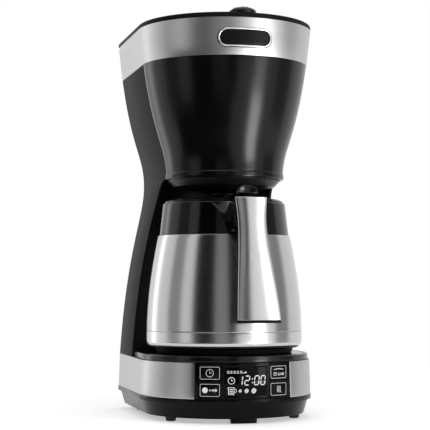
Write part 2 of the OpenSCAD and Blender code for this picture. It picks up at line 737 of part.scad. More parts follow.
// Water channel and shower head under the lid
shower_z = lid_top_z - wall - seat;
feed_y = riser_y - 16;                        // where the nozzle feeds the channel
module shower_channel() {
    color("dimgray") on_axis() difference() {
        union() {
            block([-8, 0, shower_z - 6], [8, feed_y, shower_z]);
            block([0, feed_y - 8, shower_z - 6], [riser_x + 6, feed_y + 8, shower_z]);
            translate([0, 0, shower_z - 6]) cylinder(r = 30, h = 6);
        }
        block([-6, 0, shower_z - 4.5], [6, feed_y - 2, shower_z - 1]);
        block([0, feed_y - 6, shower_z - 4.5], [riser_x + 4, feed_y + 6, shower_z - 1]);
        translate([0, 0, shower_z - 4.5]) cylinder(r = 28, h = 3.5);
        for (ring = [[10, 6], [21, 12]]) for (i = [0:ring[1] - 1])
            rotate([0, 0, i * 360 / ring[1]]) translate([ring[0], 0, shower_z - 8]) cylinder(r = 1.3, h = 5);
        translate([riser_x, feed_y, shower_z - 8]) cylinder(r = 2.4, h = 5);
    }
}

// Nozzle on the shelf that feeds the channel
module riser_nozzle() {
    color("dimgray") on_axis() difference() {
        union() {
            translate([riser_x, riser_y, riser_top_z + seat]) cylinder(r = hose_r + 0.2, h = 14);
            block([riser_x - 4.4, feed_y - 5, shelf_z + seat], [riser_x + 6, riser_y + 5, shower_z - 6.25]);
        }
        translate([riser_x, riser_y, riser_top_z - 1]) cylinder(r = 2.4, h = 18);
        translate([riser_x, feed_y, shelf_z + 5]) cylinder(r = 2.4, h = 10);
        block([riser_x - 2, feed_y, shelf_z + 5], [riser_x + 2, riser_y, shelf_z + 7]);
    }
}

// ---------- Filter ----------
basket_low_z = ring_low_z + floor_t + fit;
basket_top_z = shelf_z + 0.25;
basket_top_r = basket_flange_r - 4;
outlet_low_z = spout_low_z + 5;
outlet_r = 6.5;
stem_r = 2.4;
module filter_basket() {
    t = 2;
    color("dimgray") on_axis() {
        difference() {
            union() {
                turned_shell([[0, basket_low_z], [basket_low_r, basket_low_z], [basket_top_r, basket_top_z],
                    [basket_flange_r, basket_top_z], [basket_flange_r, basket_top_z + 2.4]],
                    [[0, basket_low_z + t], [basket_low_r - t, basket_low_z + t],
                        [basket_top_r - t, basket_top_z + 2.4]]);
                translate([0, 0, outlet_low_z]) cylinder(r = outlet_r, h = basket_low_z - outlet_low_z + 1);
            }
            translate([0, 0, outlet_low_z + 2]) cylinder(r = outlet_r - 1.9, h = 30);
            translate([0, 0, outlet_low_z - 1]) cylinder(r = stem_r + 0.8, h = 10);
        }
        // bridge over the outlet, which the spring pushes against
        block([-outlet_r, -1.5, basket_low_z + 0.2], [outlet_r, 1.5, basket_low_z + t]);
    }
}

module permanent_filter() {
    t = 1.2;
    gap = 3.2;
    low = basket_low_z + 9;
    high = basket_top_z + 2.6;
    color("goldenrod") on_axis() {
        turned_shell([[0, low], [basket_low_r - gap - 5, low], [basket_top_r - gap, high],
            [basket_top_r + 1.5, high],
            [basket_top_r + 1.5, high + 1.4]],
            [[0, low + t], [basket_low_r - gap - 5 - t, low + t], [basket_top_r - gap - t, high + 1.4]]);
    }
}

// Spring-loaded drip stop: a disc on the outlet's floor with a stem that the carafe's lid can push
module drip_valve() {
    color("gray") on_axis() {
        translate([0, 0, lid_face_z + 0.4]) cylinder(r = stem_r, h = outlet_low_z + 3 - lid_face_z);
        translate([0, 0, outlet_low_z + 2 + seat]) cylinder(r = outlet_r - 2.2, h = 2);
    }
}

module drip_spring() {
    spring_low_z = outlet_low_z + 4 + 2 * seat;
    color("silver") on_axis() translate([0, 0, spring_low_z])
        ring_spring(outlet_r - 3, 0.4, basket_low_z + 0.2 - seat - spring_low_z, 5);
}

// ---------- Badge ----------
badge_z = band_low_top_z + 0.46 * top_band_h;
badge_half_w = 26.5;
badge_half_h = 8.8;
badge_far = top_half_w + 12;
badge_near = waist_half_w;
module badge_outline(inset, y0, y1) {
    r = badge_half_h - inset;
    run = badge_half_w - badge_half_h;
    translate([0, y1, badge_z]) rotate([90, 0, 0]) {
        for (side = [-1, 1]) translate([side * run, 0, 0]) cylinder(r = r, h = y1 - y0);
        translate([-run, -r, 0]) cube([2 * run, 2 * r, y1 - y0]);
    }
}

module badge_skin(out) {
    // a slice of the band's own cone, so that the badge follows the band
    a = badge_z - badge_half_h - 2;
    b = badge_z + badge_half_h + 2;
    w = function (z) body_w(band_low_top_z) + 0.3 + (body_w(band_top_z) - body_w(band_low_top_z)) * (z - band_low_top_z) / top_band_h;
    rotate_extrude(angle = 60, start = 240) polygon([[w(a) + seat, a], [w(a) + out, a], [w(b) + out, b],
        [w(b) + seat, b]]);
}

module badge_rim() {
    color("silver") on_axis() intersection() {
        badge_skin(1.5);
        difference() {
            badge_outline(0, -badge_far, -badge_near);
            badge_outline(1.4, -badge_far - 1, -badge_near + 1);
        }
    }
}

module badge_plate() {
    color("black") on_axis() intersection() {
        badge_skin(1.1);
        badge_outline(1.45, -badge_far, -badge_near);
    }
}

// ---------- Carafe ----------
flask_t = 0.8;
module flask_outer() {
    z0 = cup_z + 0.25;
    z1 = collar_z - 0.2;
    color("silver") on_axis() turned_shell(flask_line(z0, z1), flask_line(z0, z1, flask_t));
}

cup_round = 7;
cup_low_z = carafe_low_z + carafe_foot_h;
module flask_cup() {
    turn = [for (i = [0:6]) let (a = -90 + 15 * i) [flask_r - cup_round + cup_round * cos(a),
        cup_low_z + cup_round + cup_round * sin(a)]];
    inside = [for (i = [0:6]) let (a = -90 + 15 * i) [flask_r - cup_round + (cup_round - flask_t) * cos(a),
        cup_low_z + cup_round + (cup_round - flask_t) * sin(a)]];
    color("silver") on_axis() turned_shell(concat([[0, cup_low_z]], turn, [[flask_r, cup_z]]),
        concat([[0, cup_low_z + flask_t]], inside, [[flask_r - flask_t, cup_z]]));
}

module carafe_foot() {
    color("black") on_axis() difference() {
        translate([0, 0, carafe_low_z]) cylinder(r1 = flask_r - 10, r2 = flask_r - 8.5,
            h = carafe_foot_h - seat);
        translate([0, 0, carafe_low_z - 1]) cylinder(r = flask_r - 22, h = 2.5);
    }
}

inner_gap = 5;
neck_r = mouth_r - fit;
module flask_inner() {
    low = cup_low_z + 6;
    shoulder = collar_z - 6;
    neck = neck_r;
    outer = concat([[0, low], [flask_r - inner_gap - 8, low], [flask_r - inner_gap, low + 8]],
        [for (p = flask_points) if (p[1] > low + 14 && p[1] < shoulder - 6) [p[0] - inner_gap, p[1]]],
        [[flask_w(shoulder) - inner_gap - 2, shoulder], [neck + 6, collar_z + 6], [neck, collar_z + 10],
            [neck, collar_top_z - 4]]);
    inner = concat([[0, low + flask_t], [flask_r - inner_gap - 8.4, low + flask_t],
        [flask_r - inner_gap - flask_t, low + 8.4]],
        [for (p = flask_points) if (p[1] > low + 14 && p[1] < shoulder - 6) [p[0] - inner_gap - flask_t,
            p[1]]],
        [[flask_w(shoulder) - inner_gap - 3, shoulder - 0.5], [neck + 5.4, collar_z + 5.2],
            [neck - flask_t, collar_z + 9.6],
            [neck - flask_t, collar_top_z - 4]]);
    color("gainsboro") on_axis() turned_shell(outer, inner);
}

// Plan view of the arm that runs from the collar to the handle, as half width and distance
arm_half_w = 13;
arm_front_y = -(handle_top_reach - 19);
arm_low_z = collar_z + 6;
arm_top_z = handle_top_z - 2.4;
arm_curve = [[arm_half_w + 14, collar_low_r - 9], [arm_half_w + 6, collar_low_r - 1],
    [arm_half_w + 0.5, collar_low_r + 5],
    [arm_half_w, -arm_front_y]];
tongue_y = arm_front_y - 10;
module arm() {
    flare = [for (i = [0:8]) bezier(arm_curve, i / 8)];
    plan = concat([for (p = flare) [p[0], -p[1]]], [for (i = [8:-1:0]) [-flare[i][0], -flare[i][1]]]);
    side = [[-(collar_low_r - 10), arm_low_z + 8], [-(collar_low_r - 2), arm_low_z + 7],
        [arm_front_y + 6, arm_low_z + 1],
        [arm_front_y, arm_low_z], [arm_front_y, arm_top_z], [-(collar_low_r - 10), arm_top_z]];
    intersection() {
        linear_extrude(arm_top_z + 1) polygon(plan);
        translate([-60, 0, 0]) rotate([90, 0, 90]) linear_extrude(120) polygon(side);
    }
    block([-arm_half_w + 2, tongue_y, arm_low_z - 2.4], [arm_half_w - 2, arm_front_y + 3, arm_low_z]);
    block([-arm_half_w + 2, arm_front_y, arm_low_z - 2.4], [arm_half_w - 2, arm_front_y + 3, arm_low_z + 2]);
}

// Collar with its pouring lip at the back and its arm for the handle
module carafe_collar() {
    t = 2.4;
    top = collar_top_z;
    color("black") on_axis() difference() {
        union() {
            turned_shell([[collar_low_r, collar_z - 8], [collar_low_r, collar_z + 0.8],
                [collar_top_r + 0.8, top - 1.2], [collar_top_r, top]],
                [[collar_low_r - t, collar_z - 8], [collar_low_r - t, collar_z + 0.8],
                    [collar_top_r - t, top - t], [collar_top_r - 6, top]]);
            // deck of the collar down to the neck
            turned_shell([[mouth_r, collar_z + 14], [mouth_r + 2.2, collar_z + 14],
                [mouth_r + 2.2, top - 6], [collar_top_r - 2, top - 3.4],
                [collar_top_r - 2, top - 1]],
                [[mouth_r, collar_z + 14], [mouth_r, top - 4], [collar_top_r - 4, top - 1]]);
            // pouring lip
            intersection() {
                translate([0, 0, top - 14]) cylinder(r1 = collar_top_r - 2, r2 = collar_top_r + 3.6, h = 14);
                block([-13, 40, top - 14], [13, 80, top]);
            }
            arm();
        }
        translate([0, 0, collar_z]) cylinder(r = mouth_r, h = 60);
        // channel of the pouring lip
        block([-9, 40, top - 6], [9, collar_top_r + 1, top + 4]);
        // bores for the handle's screws
        for (side = [-1, 1]) translate([side * screw_x, screw_y, arm_low_z - 4])
            cylinder(r = screw_r, h = 4.5);
    }
}

lid_low_z = collar_top_z - 22;
neck_in_r = neck_r - flask_t;
hub_r = neck_in_r - 1.2;
seal_z = collar_top_z - 14;
seal_h = 4;
lid_edge_r = collar_top_r - 1.4;
groove_half_w = 6.8;
groove_z = lid_face_z - 2;
chamber_top_z = lid_face_z - 10;
lid_wall = 2.2;
module carafe_lid() {
    color("black") on_axis() difference() {
        union() {
            rotate_extrude() polygon([[0, lid_low_z], [hub_r, lid_low_z], [hub_r, collar_top_z + fit],
                [lid_edge_r, collar_top_z + fit], [lid_edge_r, collar_top_z + 1.4],
                    [lid_edge_r - 3.6, lid_face_z], [0, lid_face_z]]);
            // ears of the lever's pin
            for (side = [-1, 1]) block([side * (groove_half_w + 1.6) - 1.6, lever_y - 3,
                collar_top_z + 1], [side * (groove_half_w + 1.6) + 1.6, lever_y + 3, lever_z + 2.2]);
        }
        // bowl and inlet under the brew head's spout
        translate([0, 0, lid_face_z - 4]) cylinder(r1 = 8, r2 = 15, h = 4.01);
        translate([0, 0, lid_low_z - 1]) cylinder(r = 4, h = 40);
        // chamber round the valve
        rotate_extrude() polygon([[0, lid_low_z + lid_wall],
            [hub_r - lid_wall - 1.5, lid_low_z + lid_wall], [hub_r - lid_wall - 1.5, chamber_top_z],
            [0, chamber_top_z]]);
        // bores of the pour valve
        translate([0, valve_y, chamber_top_z - 1]) cylinder(r = 3.2, h = 20);
        translate([0, valve_y, lid_low_z - 1]) cylinder(r = 5, h = 5);
        // groove of the lever
        block([-groove_half_w, -collar_top_r - 10, groove_z], [groove_half_w, valve_y + 6, lid_face_z + 20]);
        // bore of the lever's pin
        translate([-20, lever_y, lever_z]) rotate([0, 90, 0]) cylinder(r = lever_pin_r + play, h = 40);
        // groove of the seal
        turned_shell([[hub_r - 1.5, seal_z], [hub_r + 1, seal_z], [hub_r + 1, seal_z + seal_h],
            [hub_r - 1.5, seal_z + seal_h]],
            [[hub_r - 1.6, seal_z], [hub_r - 1.6, seal_z + seal_h]]);
    }
}

module lid_seal() {
    color("lightgray") on_axis() turned_shell([[hub_r - 1.5 + seat, seal_z + seat],
        [neck_in_r - fit, seal_z + seat],
        [neck_in_r - fit, seal_z + seal_h - seat]], [[hub_r - 1.5 + seat, seal_z + seat],
            [hub_r - 1.5 + seat, seal_z + seal_h - seat]]);
}

// Thumb lever: a bar in the lid's groove with an arched pad above the handle's arm
lever_pin_r = 1.1;
lever_half_w = 6.4;
pad_r = 10;
module thumb_lever() {
    low_z = groove_z + 0.4;
    bar_top_z = lid_face_z + 1.5;
    bar = [[valve_y + 5, low_z], [valve_y + 5, bar_top_z], [lever_y + 6, bar_top_z],
        [lever_y, lever_z + 2.3], [-lid_edge_r - 6, bar_top_z + 2],
        [pad_y + 9, bar_top_z + 3], [pad_y + 9, low_z + 3], [-lid_edge_r - 2, low_z + 1.6],
            [lever_y - 2, low_z]];
    pad = [[pad_y + 15, bar_top_z], [pad_y + 9, bar_top_z + 4], [pad_y + 5, bar_top_z + 7.5],
        [pad_y + 2, bar_top_z + 8.4],
        [pad_y, bar_top_z + 6.5], [pad_y, low_z + 4.6], [pad_y + 2, low_z + 3], [pad_y + 15, low_z + 2.4]];
    color("black") on_axis() difference() {
        union() {
            translate([-lever_half_w, 0, 0]) rotate([90, 0, 90]) linear_extrude(2 * lever_half_w)
                polygon(bar);
            intersection() {
                translate([-pad_r - 1, 0, 0]) rotate([90, 0, 90]) linear_extrude(2 * pad_r + 2) polygon(pad);
                translate([0, pad_y - 1, bar_top_z + 8.4 - pad_r]) rotate([-90, 0, 0])
                    cylinder(r = pad_r, h = 30);
            }
        }
        translate([-20, lever_y, lever_z]) rotate([0, 90, 0]) cylinder(r = lever_pin_r + play, h = 40);
        // fork round the valve's stem
        block([-3.4, valve_y - 4.4, low_z - 1], [3.4, valve_y + 6, bar_top_z + 1]);
    }
}

module lever_pin() {
    reach = groove_half_w + 3;
    color("silver") on_axis() translate([-reach, lever_y, lever_z]) rotate([0, 90, 0])
        cylinder(r = lever_pin_r, h = 2 * reach);
}

// Valve that the lever's fork lifts off the floor of the lid's chamber
module pour_valve() {
    floor_z = lid_low_z + lid_wall + seat;
    head_z = lid_face_z + 1.5 + 0.35;
    color("gray") on_axis() translate([0, valve_y, 0]) {
        translate([0, 0, floor_z]) cylinder(r = 6.5, h = 2);
        translate([0, 0, floor_z]) cylinder(r = 3, h = head_z - floor_z + 1);
        translate([0, 0, head_z]) cylinder(r = 4.6, h = 1.4);
    }
}

module pour_spring() {
    low_z = lid_low_z + lid_wall + 2 + 2 * seat;
    color("silver") on_axis() translate([0, valve_y, low_z])
        ring_spring(4.2, 0.4, chamber_top_z - low_z - seat, 5);
}

// ---------- Handle ----------
// A slab along the handle's side view, between two depths behind its outer face
module handle_slab(out0, out1, z0, z1, inset = 0) {
    points = [for (p = side_points) if (p[1] >= z0 - 0.01 && p[1] <= z1 + 0.01) p];
    ends = concat([[handle_side(z0), z0]], [for (p = points) if (p[1] > z0 + 0.5 && p[1] < z1 - 0.5) p],
        [[handle_side(z1), z1]]);
    side = concat([for (p = ends) [-(p[0] - out0), p[1]]],
        [for (i = [len(ends) - 1:-1:0]) [-(ends[i][0] - out1), ends[i][1]]]);
    front = concat([for (p = width_points) [p[0] - inset, p[1]]],
        [for (i = [len(width_points) - 1:-1:0]) [-(width_points[i][0] - inset), width_points[i][1]]]);
    intersection() {
        translate([-40, 0, 0]) rotate([90, 0, 90]) linear_extrude(80) polygon(side);
        rotate([90, 0, 0]) linear_extrude(200) polygon(front);
    }
}

module handle_cover() {
    color("silver") on_axis() handle_slab(0, cover_t, handle_low_z + heel_h, handle_top_z - 1);
}

core_t = 10;
heel_h = 2.6;
module handle_core() {
    color("black") on_axis() difference() {
        union() {
            handle_slab(cover_t + seat, core_t, handle_low_z, handle_top_z - 1, 0.6);
            handle_slab(0, core_t, handle_low_z, handle_low_z + heel_h - seat);
            // block that meets the collar's arm
            block([-arm_half_w, -(handle_top_reach - 4), arm_low_z + seat],
                [arm_half_w, arm_front_y - seat, arm_top_z]);
        }
        for (side = [-1, 1]) translate([side * screw_x, screw_y, arm_low_z - 1])
            cylinder(r = screw_r, h = 14);
    }
}

screw_x = 6;
screw_y = arm_front_y - 5;
module handle_screws() {
    color("silver") on_axis() for (side = [-1, 1]) translate([side * screw_x, screw_y,
        arm_low_z - 2.4 - seat]) screw(screw_r - seat, 13);
}

base_pan();
feet();
base_screws();
base_frame();
base_band();
base_deck();
control_panel();
display_window();
clock_key();
aroma_key();
power_key();
descale_key();
key_switches();
control_board();
board_clips();
display_module();
cord_inlet();
heater();
heater_tube();
heater_posts();
thermostats();
check_valve();
cold_hose();
riser_hose();
column_front();
rear_housing();
level_window();
water_tank();
funnel_shell();
brew_floor();
funnel_ring();
top_band();
top_frame();
badge_rim();
badge_plate();
lid();
lid_pin();
lid_knob();
shower_channel();
riser_nozzle();
filter_basket();
permanent_filter();
drip_valve();
drip_spring();
flask_outer();
flask_cup();
carafe_foot();
flask_inner();
carafe_collar();
carafe_lid();
lid_seal();
thumb_lever();
lever_pin();
pour_valve();
pour_spring();
handle_cover();
handle_core();
handle_screws();
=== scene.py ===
import math
import bmesh
import bpy
from bpy.props import FloatProperty, FloatVectorProperty, PointerProperty
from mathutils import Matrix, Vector


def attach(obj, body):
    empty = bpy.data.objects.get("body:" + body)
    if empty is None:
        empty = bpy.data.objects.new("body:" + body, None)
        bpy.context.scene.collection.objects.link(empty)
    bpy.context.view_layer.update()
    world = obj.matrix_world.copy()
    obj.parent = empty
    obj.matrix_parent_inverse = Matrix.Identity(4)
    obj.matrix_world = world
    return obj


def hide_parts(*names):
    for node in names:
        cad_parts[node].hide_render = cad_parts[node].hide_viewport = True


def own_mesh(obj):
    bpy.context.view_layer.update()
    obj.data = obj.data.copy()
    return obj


bl_info = {
    "name": "Drip coffee maker",
    "version": (1, 0, 0),
    "blender": (4, 5, 0),
    "location": "View3D > Sidebar > Coffee",
    "description": "Dresses the solids of a drip coffee maker with finished pieces",
    "category": "Object",
}

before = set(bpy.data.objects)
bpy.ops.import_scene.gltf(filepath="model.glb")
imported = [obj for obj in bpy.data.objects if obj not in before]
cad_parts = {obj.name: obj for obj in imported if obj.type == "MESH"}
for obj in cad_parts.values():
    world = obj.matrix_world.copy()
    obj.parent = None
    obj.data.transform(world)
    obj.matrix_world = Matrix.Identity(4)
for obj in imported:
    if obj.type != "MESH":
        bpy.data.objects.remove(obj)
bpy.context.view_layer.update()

MM = 0.001
AXIS_Y = 9.0            # the carafe's axis, in millimetres
REAR = 118.0            # from the axis to the back face
ARC = 128               # straight edges round a full circle
SEAT = 0.05             # gap between pieces that touch
WALL = 2.5              # thickness of the moulded walls
NEAR = 0.01             # how close to a plane a point still counts as on it
X, Y, Z = 0, 1, 2
BACK = AXIS_Y + REAR
BAY_DEPTH = 47.5        # from the axis to the rear of the carafe's bay
MOUTH_R = 41.0          # radius of the carafe's mouth


# ---------- Sizes and colours that a user would change ----------
def length(name, description, default):
    return FloatProperty(name=name, description=description, default=default * MM,
                         min=0, subtype="DISTANCE", unit="LENGTH", precision=4)


def colour(name, description, default):
    return FloatVectorProperty(name=name, description=description, default=default,
                               size=3, min=0, max=1, subtype="COLOR")


class CoffeeSizes(bpy.types.PropertyGroup):
    """Sizes of the pieces that dress the machine"""
    top_half: length("Top half width", "Half width of the body under the lid", 87.2)
    waist_half: length("Waist half width", "Half width of the body at the waist", 59.3)
    base_half: length("Base half width", "Half width of the body on top of the base", 85)
    waist_z: length("Waist height", "Height where the brew head ends", 236)
    band_top_z: length("Band top", "Height of the steel top band's upper edge", 386)
    top_band_h: length("Band height", "Height of the steel top band", 35.6)
    base_top_z: length("Base top", "Height of the base band's upper edge", 57.5)
    base_low_z: length("Base low", "Height of the base band's lower edge", 23.3)
    deck_z: length("Deck", "Height of the deck that the carafe stands on", 63.5)
    flask_r: length("Flask radius", "Largest radius of the flask", 77.7)
    collar_z: length("Collar seam", "Height of the seam between flask and collar", 180)
    collar_top_z: length("Collar top", "Height of the collar's upper edge", 212.5)
    cup_z: length("Cup seam", "Height of the seam between flask and base cup", 85.4)


class CoffeeColours(bpy.types.PropertyGroup):
    """Colours of the finishes"""
    gloss: colour("Gloss", "Glossy black shell", (0.002, 0.002, 0.0022))
    satin: colour("Satin", "Foot of the carafe", (0.009, 0.009, 0.0095))
    housing: colour("Housing", "Satin black side walls and back", (0.013, 0.013, 0.0135))
    lid: colour("Lid", "Satin black lid", (0.008, 0.008, 0.0085))
    steel: colour("Steel", "Brushed steel", (0.5, 0.5, 0.505))
    chrome: colour("Bright metal", "Rim of the badge place", (0.92, 0.92, 0.92))
    mark: colour("Marks", "Light marks on the panel", (0.86, 0.88, 0.9))
    rubber: colour("Rubber", "Feet", (0.012, 0.012, 0.012))
    plastic: colour("Grey plastic", "Parts inside the brew head", (0.09, 0.09, 0.095))
    mesh: colour("Filter", "Fine filter", (0.55, 0.42, 0.16))


def sizes():
    """The sizes in millimetres, by name"""
    group = bpy.context.scene.coffee_sizes
    return {k: getattr(group, k) / MM for k in CoffeeSizes.__annotations__}


def paint(name):
    """One of the colours, by name"""
    return tuple(getattr(bpy.context.scene.coffee_colours, name)) + (1,)


# ---------- Curves of the body ----------
def bezier(p, t):
    """A point on a cubic curve through four control points"""
    s = 1 - t
    w = (s ** 3, 3 * t * s * s, 3 * t * t * s, t ** 3)
    return tuple(sum(w[i] * p[i][k] for i in range(4)) for k in (0, 1))


def table(points):
    """A function that reads a line's width at a height"""
    points = sorted(points, key=lambda p: p[1])

    def width(z):
        if z <= points[0][1]:
            return points[0][0]
        for a, b in zip(points, points[1:]):
            if z <= b[1]:
                return a[0] + (b[0] - a[0]) * (z - a[1]) / max(b[1] - a[1], 1e-9)
        return points[-1][0]
    return width


def span(points, z0, z1, inset=0.0):
    """A line between two heights, set in by some distance"""
    width = table(points)
    mid = [(p[0] - inset, p[1]) for p in points if z0 + 0.2 < p[1] < z1 - 0.2]
    return [(width(z0) - inset, z0)] + mid + [(width(z1) - inset, z1)]


def body_points(s, steps=28):
    """The body's outline from the base up, as [half width, height]"""
    top, waist, base = s["top_half"], s["waist_half"], s["base_half"]
    rise, fall = s["band_top_z"] - s["waist_z"], s["waist_z"] - s["base_top_z"]
    upper = [(waist, s["waist_z"]), (waist, s["waist_z"] + 0.253 * rise),
             (waist + 0.61 * (top - waist), s["waist_z"] + 0.26 * rise), (top, s["band_top_z"])]
    lower = [(base, s["base_top_z"]), (base - 0.288 * (base - waist), s["base_top_z"] + 0.636 * fall),
             (waist, s["waist_z"] - 0.187 * fall), (waist, s["waist_z"])]
    return ([bezier(lower, i / steps) for i in range(steps + 1)]
            + [bezier(upper, i / steps) for i in range(1, steps + 1)])


def flask_points(s, steps=28):
    """The flask's outline from the cup up, as [radius, height]"""
    top_r = 66.2
    curve = [(s["flask_r"], s["cup_z"] - 8), (s["flask_r"] + 0.4, s["cup_z"] + 22),
             (s["flask_r"] - 3.5, s["collar_z"] - 38), (top_r, s["collar_z"])]
    return [bezier(curve, i / steps) for i in range(steps + 1)]


# ---------- Modelling with Blender's own tools ----------
def deselect():
    """Leaves edit mode and selects nothing"""
    if bpy.context.mode != "OBJECT":
        bpy.ops.object.mode_set(mode="OBJECT")
    bpy.ops.object.select_all(action="DESELECT")


def pick(test):
    """Selects the vertices whose place in millimetres passes a test, in edit mode"""
    bm = bmesh.from_edit_mesh(bpy.context.object.data)
    bm.select_mode = {"VERT"}
    for v in bm.verts:
        v.select = bool(test(v.co / MM))
    bm.select_flush_mode()
    bmesh.update_edit_mesh(bpy.context.object.data)


def shift(test, rule):
    """Moves the vertices that pass a test to where a rule says, in edit mode"""
    bm = bmesh.from_edit_mesh(bpy.context.object.data)
    for v in bm.verts:
        co = v.co / MM
        if test(co):
            v.co = Vector(rule(co)) * MM
    bmesh.update_edit_mesh(bpy.context.object.data)


def section(name, points, closed=True, angle=0.0):
    """Starts a piece with its section, a primitive circle whose points are moved to
    the places [radius, height], at an angle round the axis where 0 is +X"""
    deselect()
    if len(points) == 2:
        points = [points[0], tuple((a + b) / 2 for a, b in zip(*points)), points[1]]
    bpy.ops.mesh.primitive_circle_add(vertices=len(points), radius=10 * MM)
    ob = bpy.context.object
    ob.name = name
    bpy.ops.object.mode_set(mode="EDIT")
    bm = bmesh.from_edit_mesh(ob.data)
    bm.verts.ensure_lookup_table()
    c, s = math.cos(angle), math.sin(angle)
    for v, (r, z) in zip(bm.verts, points):
        v.co = Vector((r * c, AXIS_Y + r * s, z)) * MM
    if not closed:
        bm.edges.ensure_lookup_table()
        ends = {bm.verts[0], bm.verts[len(points) - 1]}
        for e in list(bm.edges):
            if set(e.verts) == ends:
                bm.edges.remove(e)
    bmesh.update_edit_mesh(ob.data)
    bpy.ops.mesh.select_all(action="SELECT")
    return ob


def spin(angle, steps=None):
    """Turns what is selected round the carafe's axis, anticlockwise from above"""
    steps = steps or max(2, round(abs(angle) / (2 * math.pi) * ARC))
    bpy.ops.mesh.spin(steps=steps, angle=-angle, center=(0, AXIS_Y * MM, 0), axis=(0, 0, 1))


def merge():
    """Joins points that lie in one place and turns the faces outwards"""
    bpy.ops.mesh.select_all(action="SELECT")
    bpy.ops.mesh.remove_doubles(threshold=0.004 * MM)
    bpy.ops.mesh.normals_make_consistent(inside=False)


def at(axis, place):
    """A test for the points that lie in a plane across an axis"""
    return lambda co: abs(co[axis] - place) < NEAR


def extrude(back=0.0):
    """Extrudes what is selected towards the back, or in place"""
    bpy.ops.mesh.extrude_region_move(TRANSFORM_OT_translate={"value": (0, back * MM, 0)})


def activate(ob):
    """Selects one piece only and makes it the active one"""
    deselect()
    ob.select_set(True)
    bpy.context.view_layer.objects.active = ob


def move(ob, x=0.0, y=0.0):
    """Moves a piece's whole mesh and leaves its origin"""
    activate(ob)
    bpy.ops.object.mode_set(mode="EDIT")
    bpy.ops.mesh.select_all(action="SELECT")
    bpy.ops.transform.translate(value=(x * MM, y * MM, 0))
    deselect()
    return ob


def copied(ob, x=0.0, y=0.0):
    """A copy of a piece with its own mesh, moved to its place"""
    activate(ob)
    bpy.ops.object.duplicate(linked=False)
    return move(bpy.context.object, x, y)


def modify(ob, kind, **settings):
    """Adds a modifier and applies it"""
    activate(ob)
    bpy.ops.object.modifier_add(type=kind)
    m = ob.modifiers[-1]
    for key, value in settings.items():
        setattr(m, key, value)
    bpy.ops.object.modifier_apply(modifier=m.name)
    return ob


def bevel(ob, width, segments=3, angle=28):
    """Rounds the edges that turn by more than an angle in degrees"""
    return modify(ob, "BEVEL", width=width * MM, segments=segments, limit_method="ANGLE",
                  angle_limit=math.radians(angle), use_clamp_overlap=True)


def smooth(ob, angle=32):
    """Shades a piece smooth, apart from its sharp edges"""
    activate(ob)
    bpy.ops.object.shade_smooth_by_angle(angle=math.radians(angle))
    return ob


def turned(name, points, edge=0.3):
    """A piece of revolution from its closed section, or from a line that starts and ends on the axis"""
    on_axis = abs(points[0][0]) < 1e-6
    ob = section(name, points, closed=not on_axis)
    spin(2 * math.pi)
    merge()
    deselect()
    return bevel(ob, edge) if edge else ob


def wall(ob, thickness):
    """Turns a sheet's faces away from the machine's middle and gives it a thickness inwards"""
    activate(ob)
    bpy.ops.object.mode_set(mode="EDIT")
    merge()
    bpy.ops.object.mode_set(mode="OBJECT")
    middle = Vector((0, AXIS_Y * MM + 0.02, 0))
    out = sum((f.center - middle).xy.dot(f.normal.xy) * f.area for f in ob.data.polygons)
    if out < 0:
        bpy.ops.object.mode_set(mode="EDIT")
        bpy.ops.mesh.select_all(action="SELECT")
        bpy.ops.mesh.flip_normals()
        bpy.ops.object.mode_set(mode="OBJECT")
    return modify(ob, "SOLIDIFY", thickness=thickness * MM, offset=-1, use_even_offset=True)


def loft(name, rings, tube=False):
    """A closed solid through rings of points in millimetres, which all have as many points.
    A tube has no ends: its last ring joins its first."""
    deselect()
    bpy.ops.mesh.primitive_circle_add(vertices=len(rings[0]), radius=10 * MM)
    ob = bpy.context.object
    ob.name = name
    bpy.ops.object.mode_set(mode="EDIT")
    bm = bmesh.from_edit_mesh(ob.data)
    bm.verts.ensure_lookup_table()
    for v, p in zip(bm.verts, rings[0]):
        v.co = Vector(p) * MM
    bmesh.update_edit_mesh(ob.data)
    bpy.ops.mesh.select_all(action="SELECT")
    if not tube:
        bpy.ops.mesh.edge_face_add()
    last = [Vector(p) * MM for p in rings[0]]
    bpy.ops.mesh.select_all(action="SELECT")
    for ring in rings[1:] + (rings[:1] if tube else []):
        extrude()
        bm = bmesh.from_edit_mesh(ob.data)
        ring = [Vector(p) * MM for p in ring]
        for v in [v for v in bm.verts if v.select]:
            i = min(range(len(last)), key=lambda k: (last[k] - v.co).length_squared)
            v.co = ring[i]
        bmesh.update_edit_mesh(ob.data)
        last = ring
    merge()
    deselect()
    return ob


def half_turned(name, points, closed=True):
    """Starts a piece with a section that is turned round the front, from side to side"""
    ob = section(name, points, closed)
    spin(-math.pi)
    merge()
    return ob


def cap_ends():
    """Closes both ends of a half-turned wall"""
    ends = at(Y, AXIS_Y)
    for side in (-1, 1):
        pick(lambda co: ends(co) and side * co.x > 0)
        bpy.ops.mesh.edge_face_add()
    merge()
    deselect()


def run_back(length):
    """Carries both ends of a half-turned sheet straight back"""
    pick(at(Y, AXIS_Y))
    extrude(length)


def close_back(rear=REAR):
    """Closes the rear of a sheet whose sides end at a distance behind the axis"""
    pick(at(Y, AXIS_Y + rear))
    bpy.ops.mesh.bridge_edge_loops()


def d_body(name, line, rear, edge):
    """A solid with a round front and flat sides, from a line [half width, height] going up"""
    ob = half_turned(name, line, closed=False)
    run_back(rear)
    close_back(rear)
    for z in (line[0][1], line[-1][1]):
        pick(at(Z, z))
        bpy.ops.mesh.edge_face_add()
    merge()
    deselect()
    return bevel(ob, edge)


def slab(r0, r1, z0, z1):
    """The section of a curved plate between two radii and two heights"""
    return [(r0, z0), (r1, z0), (r1, z1), (r0, z1)]


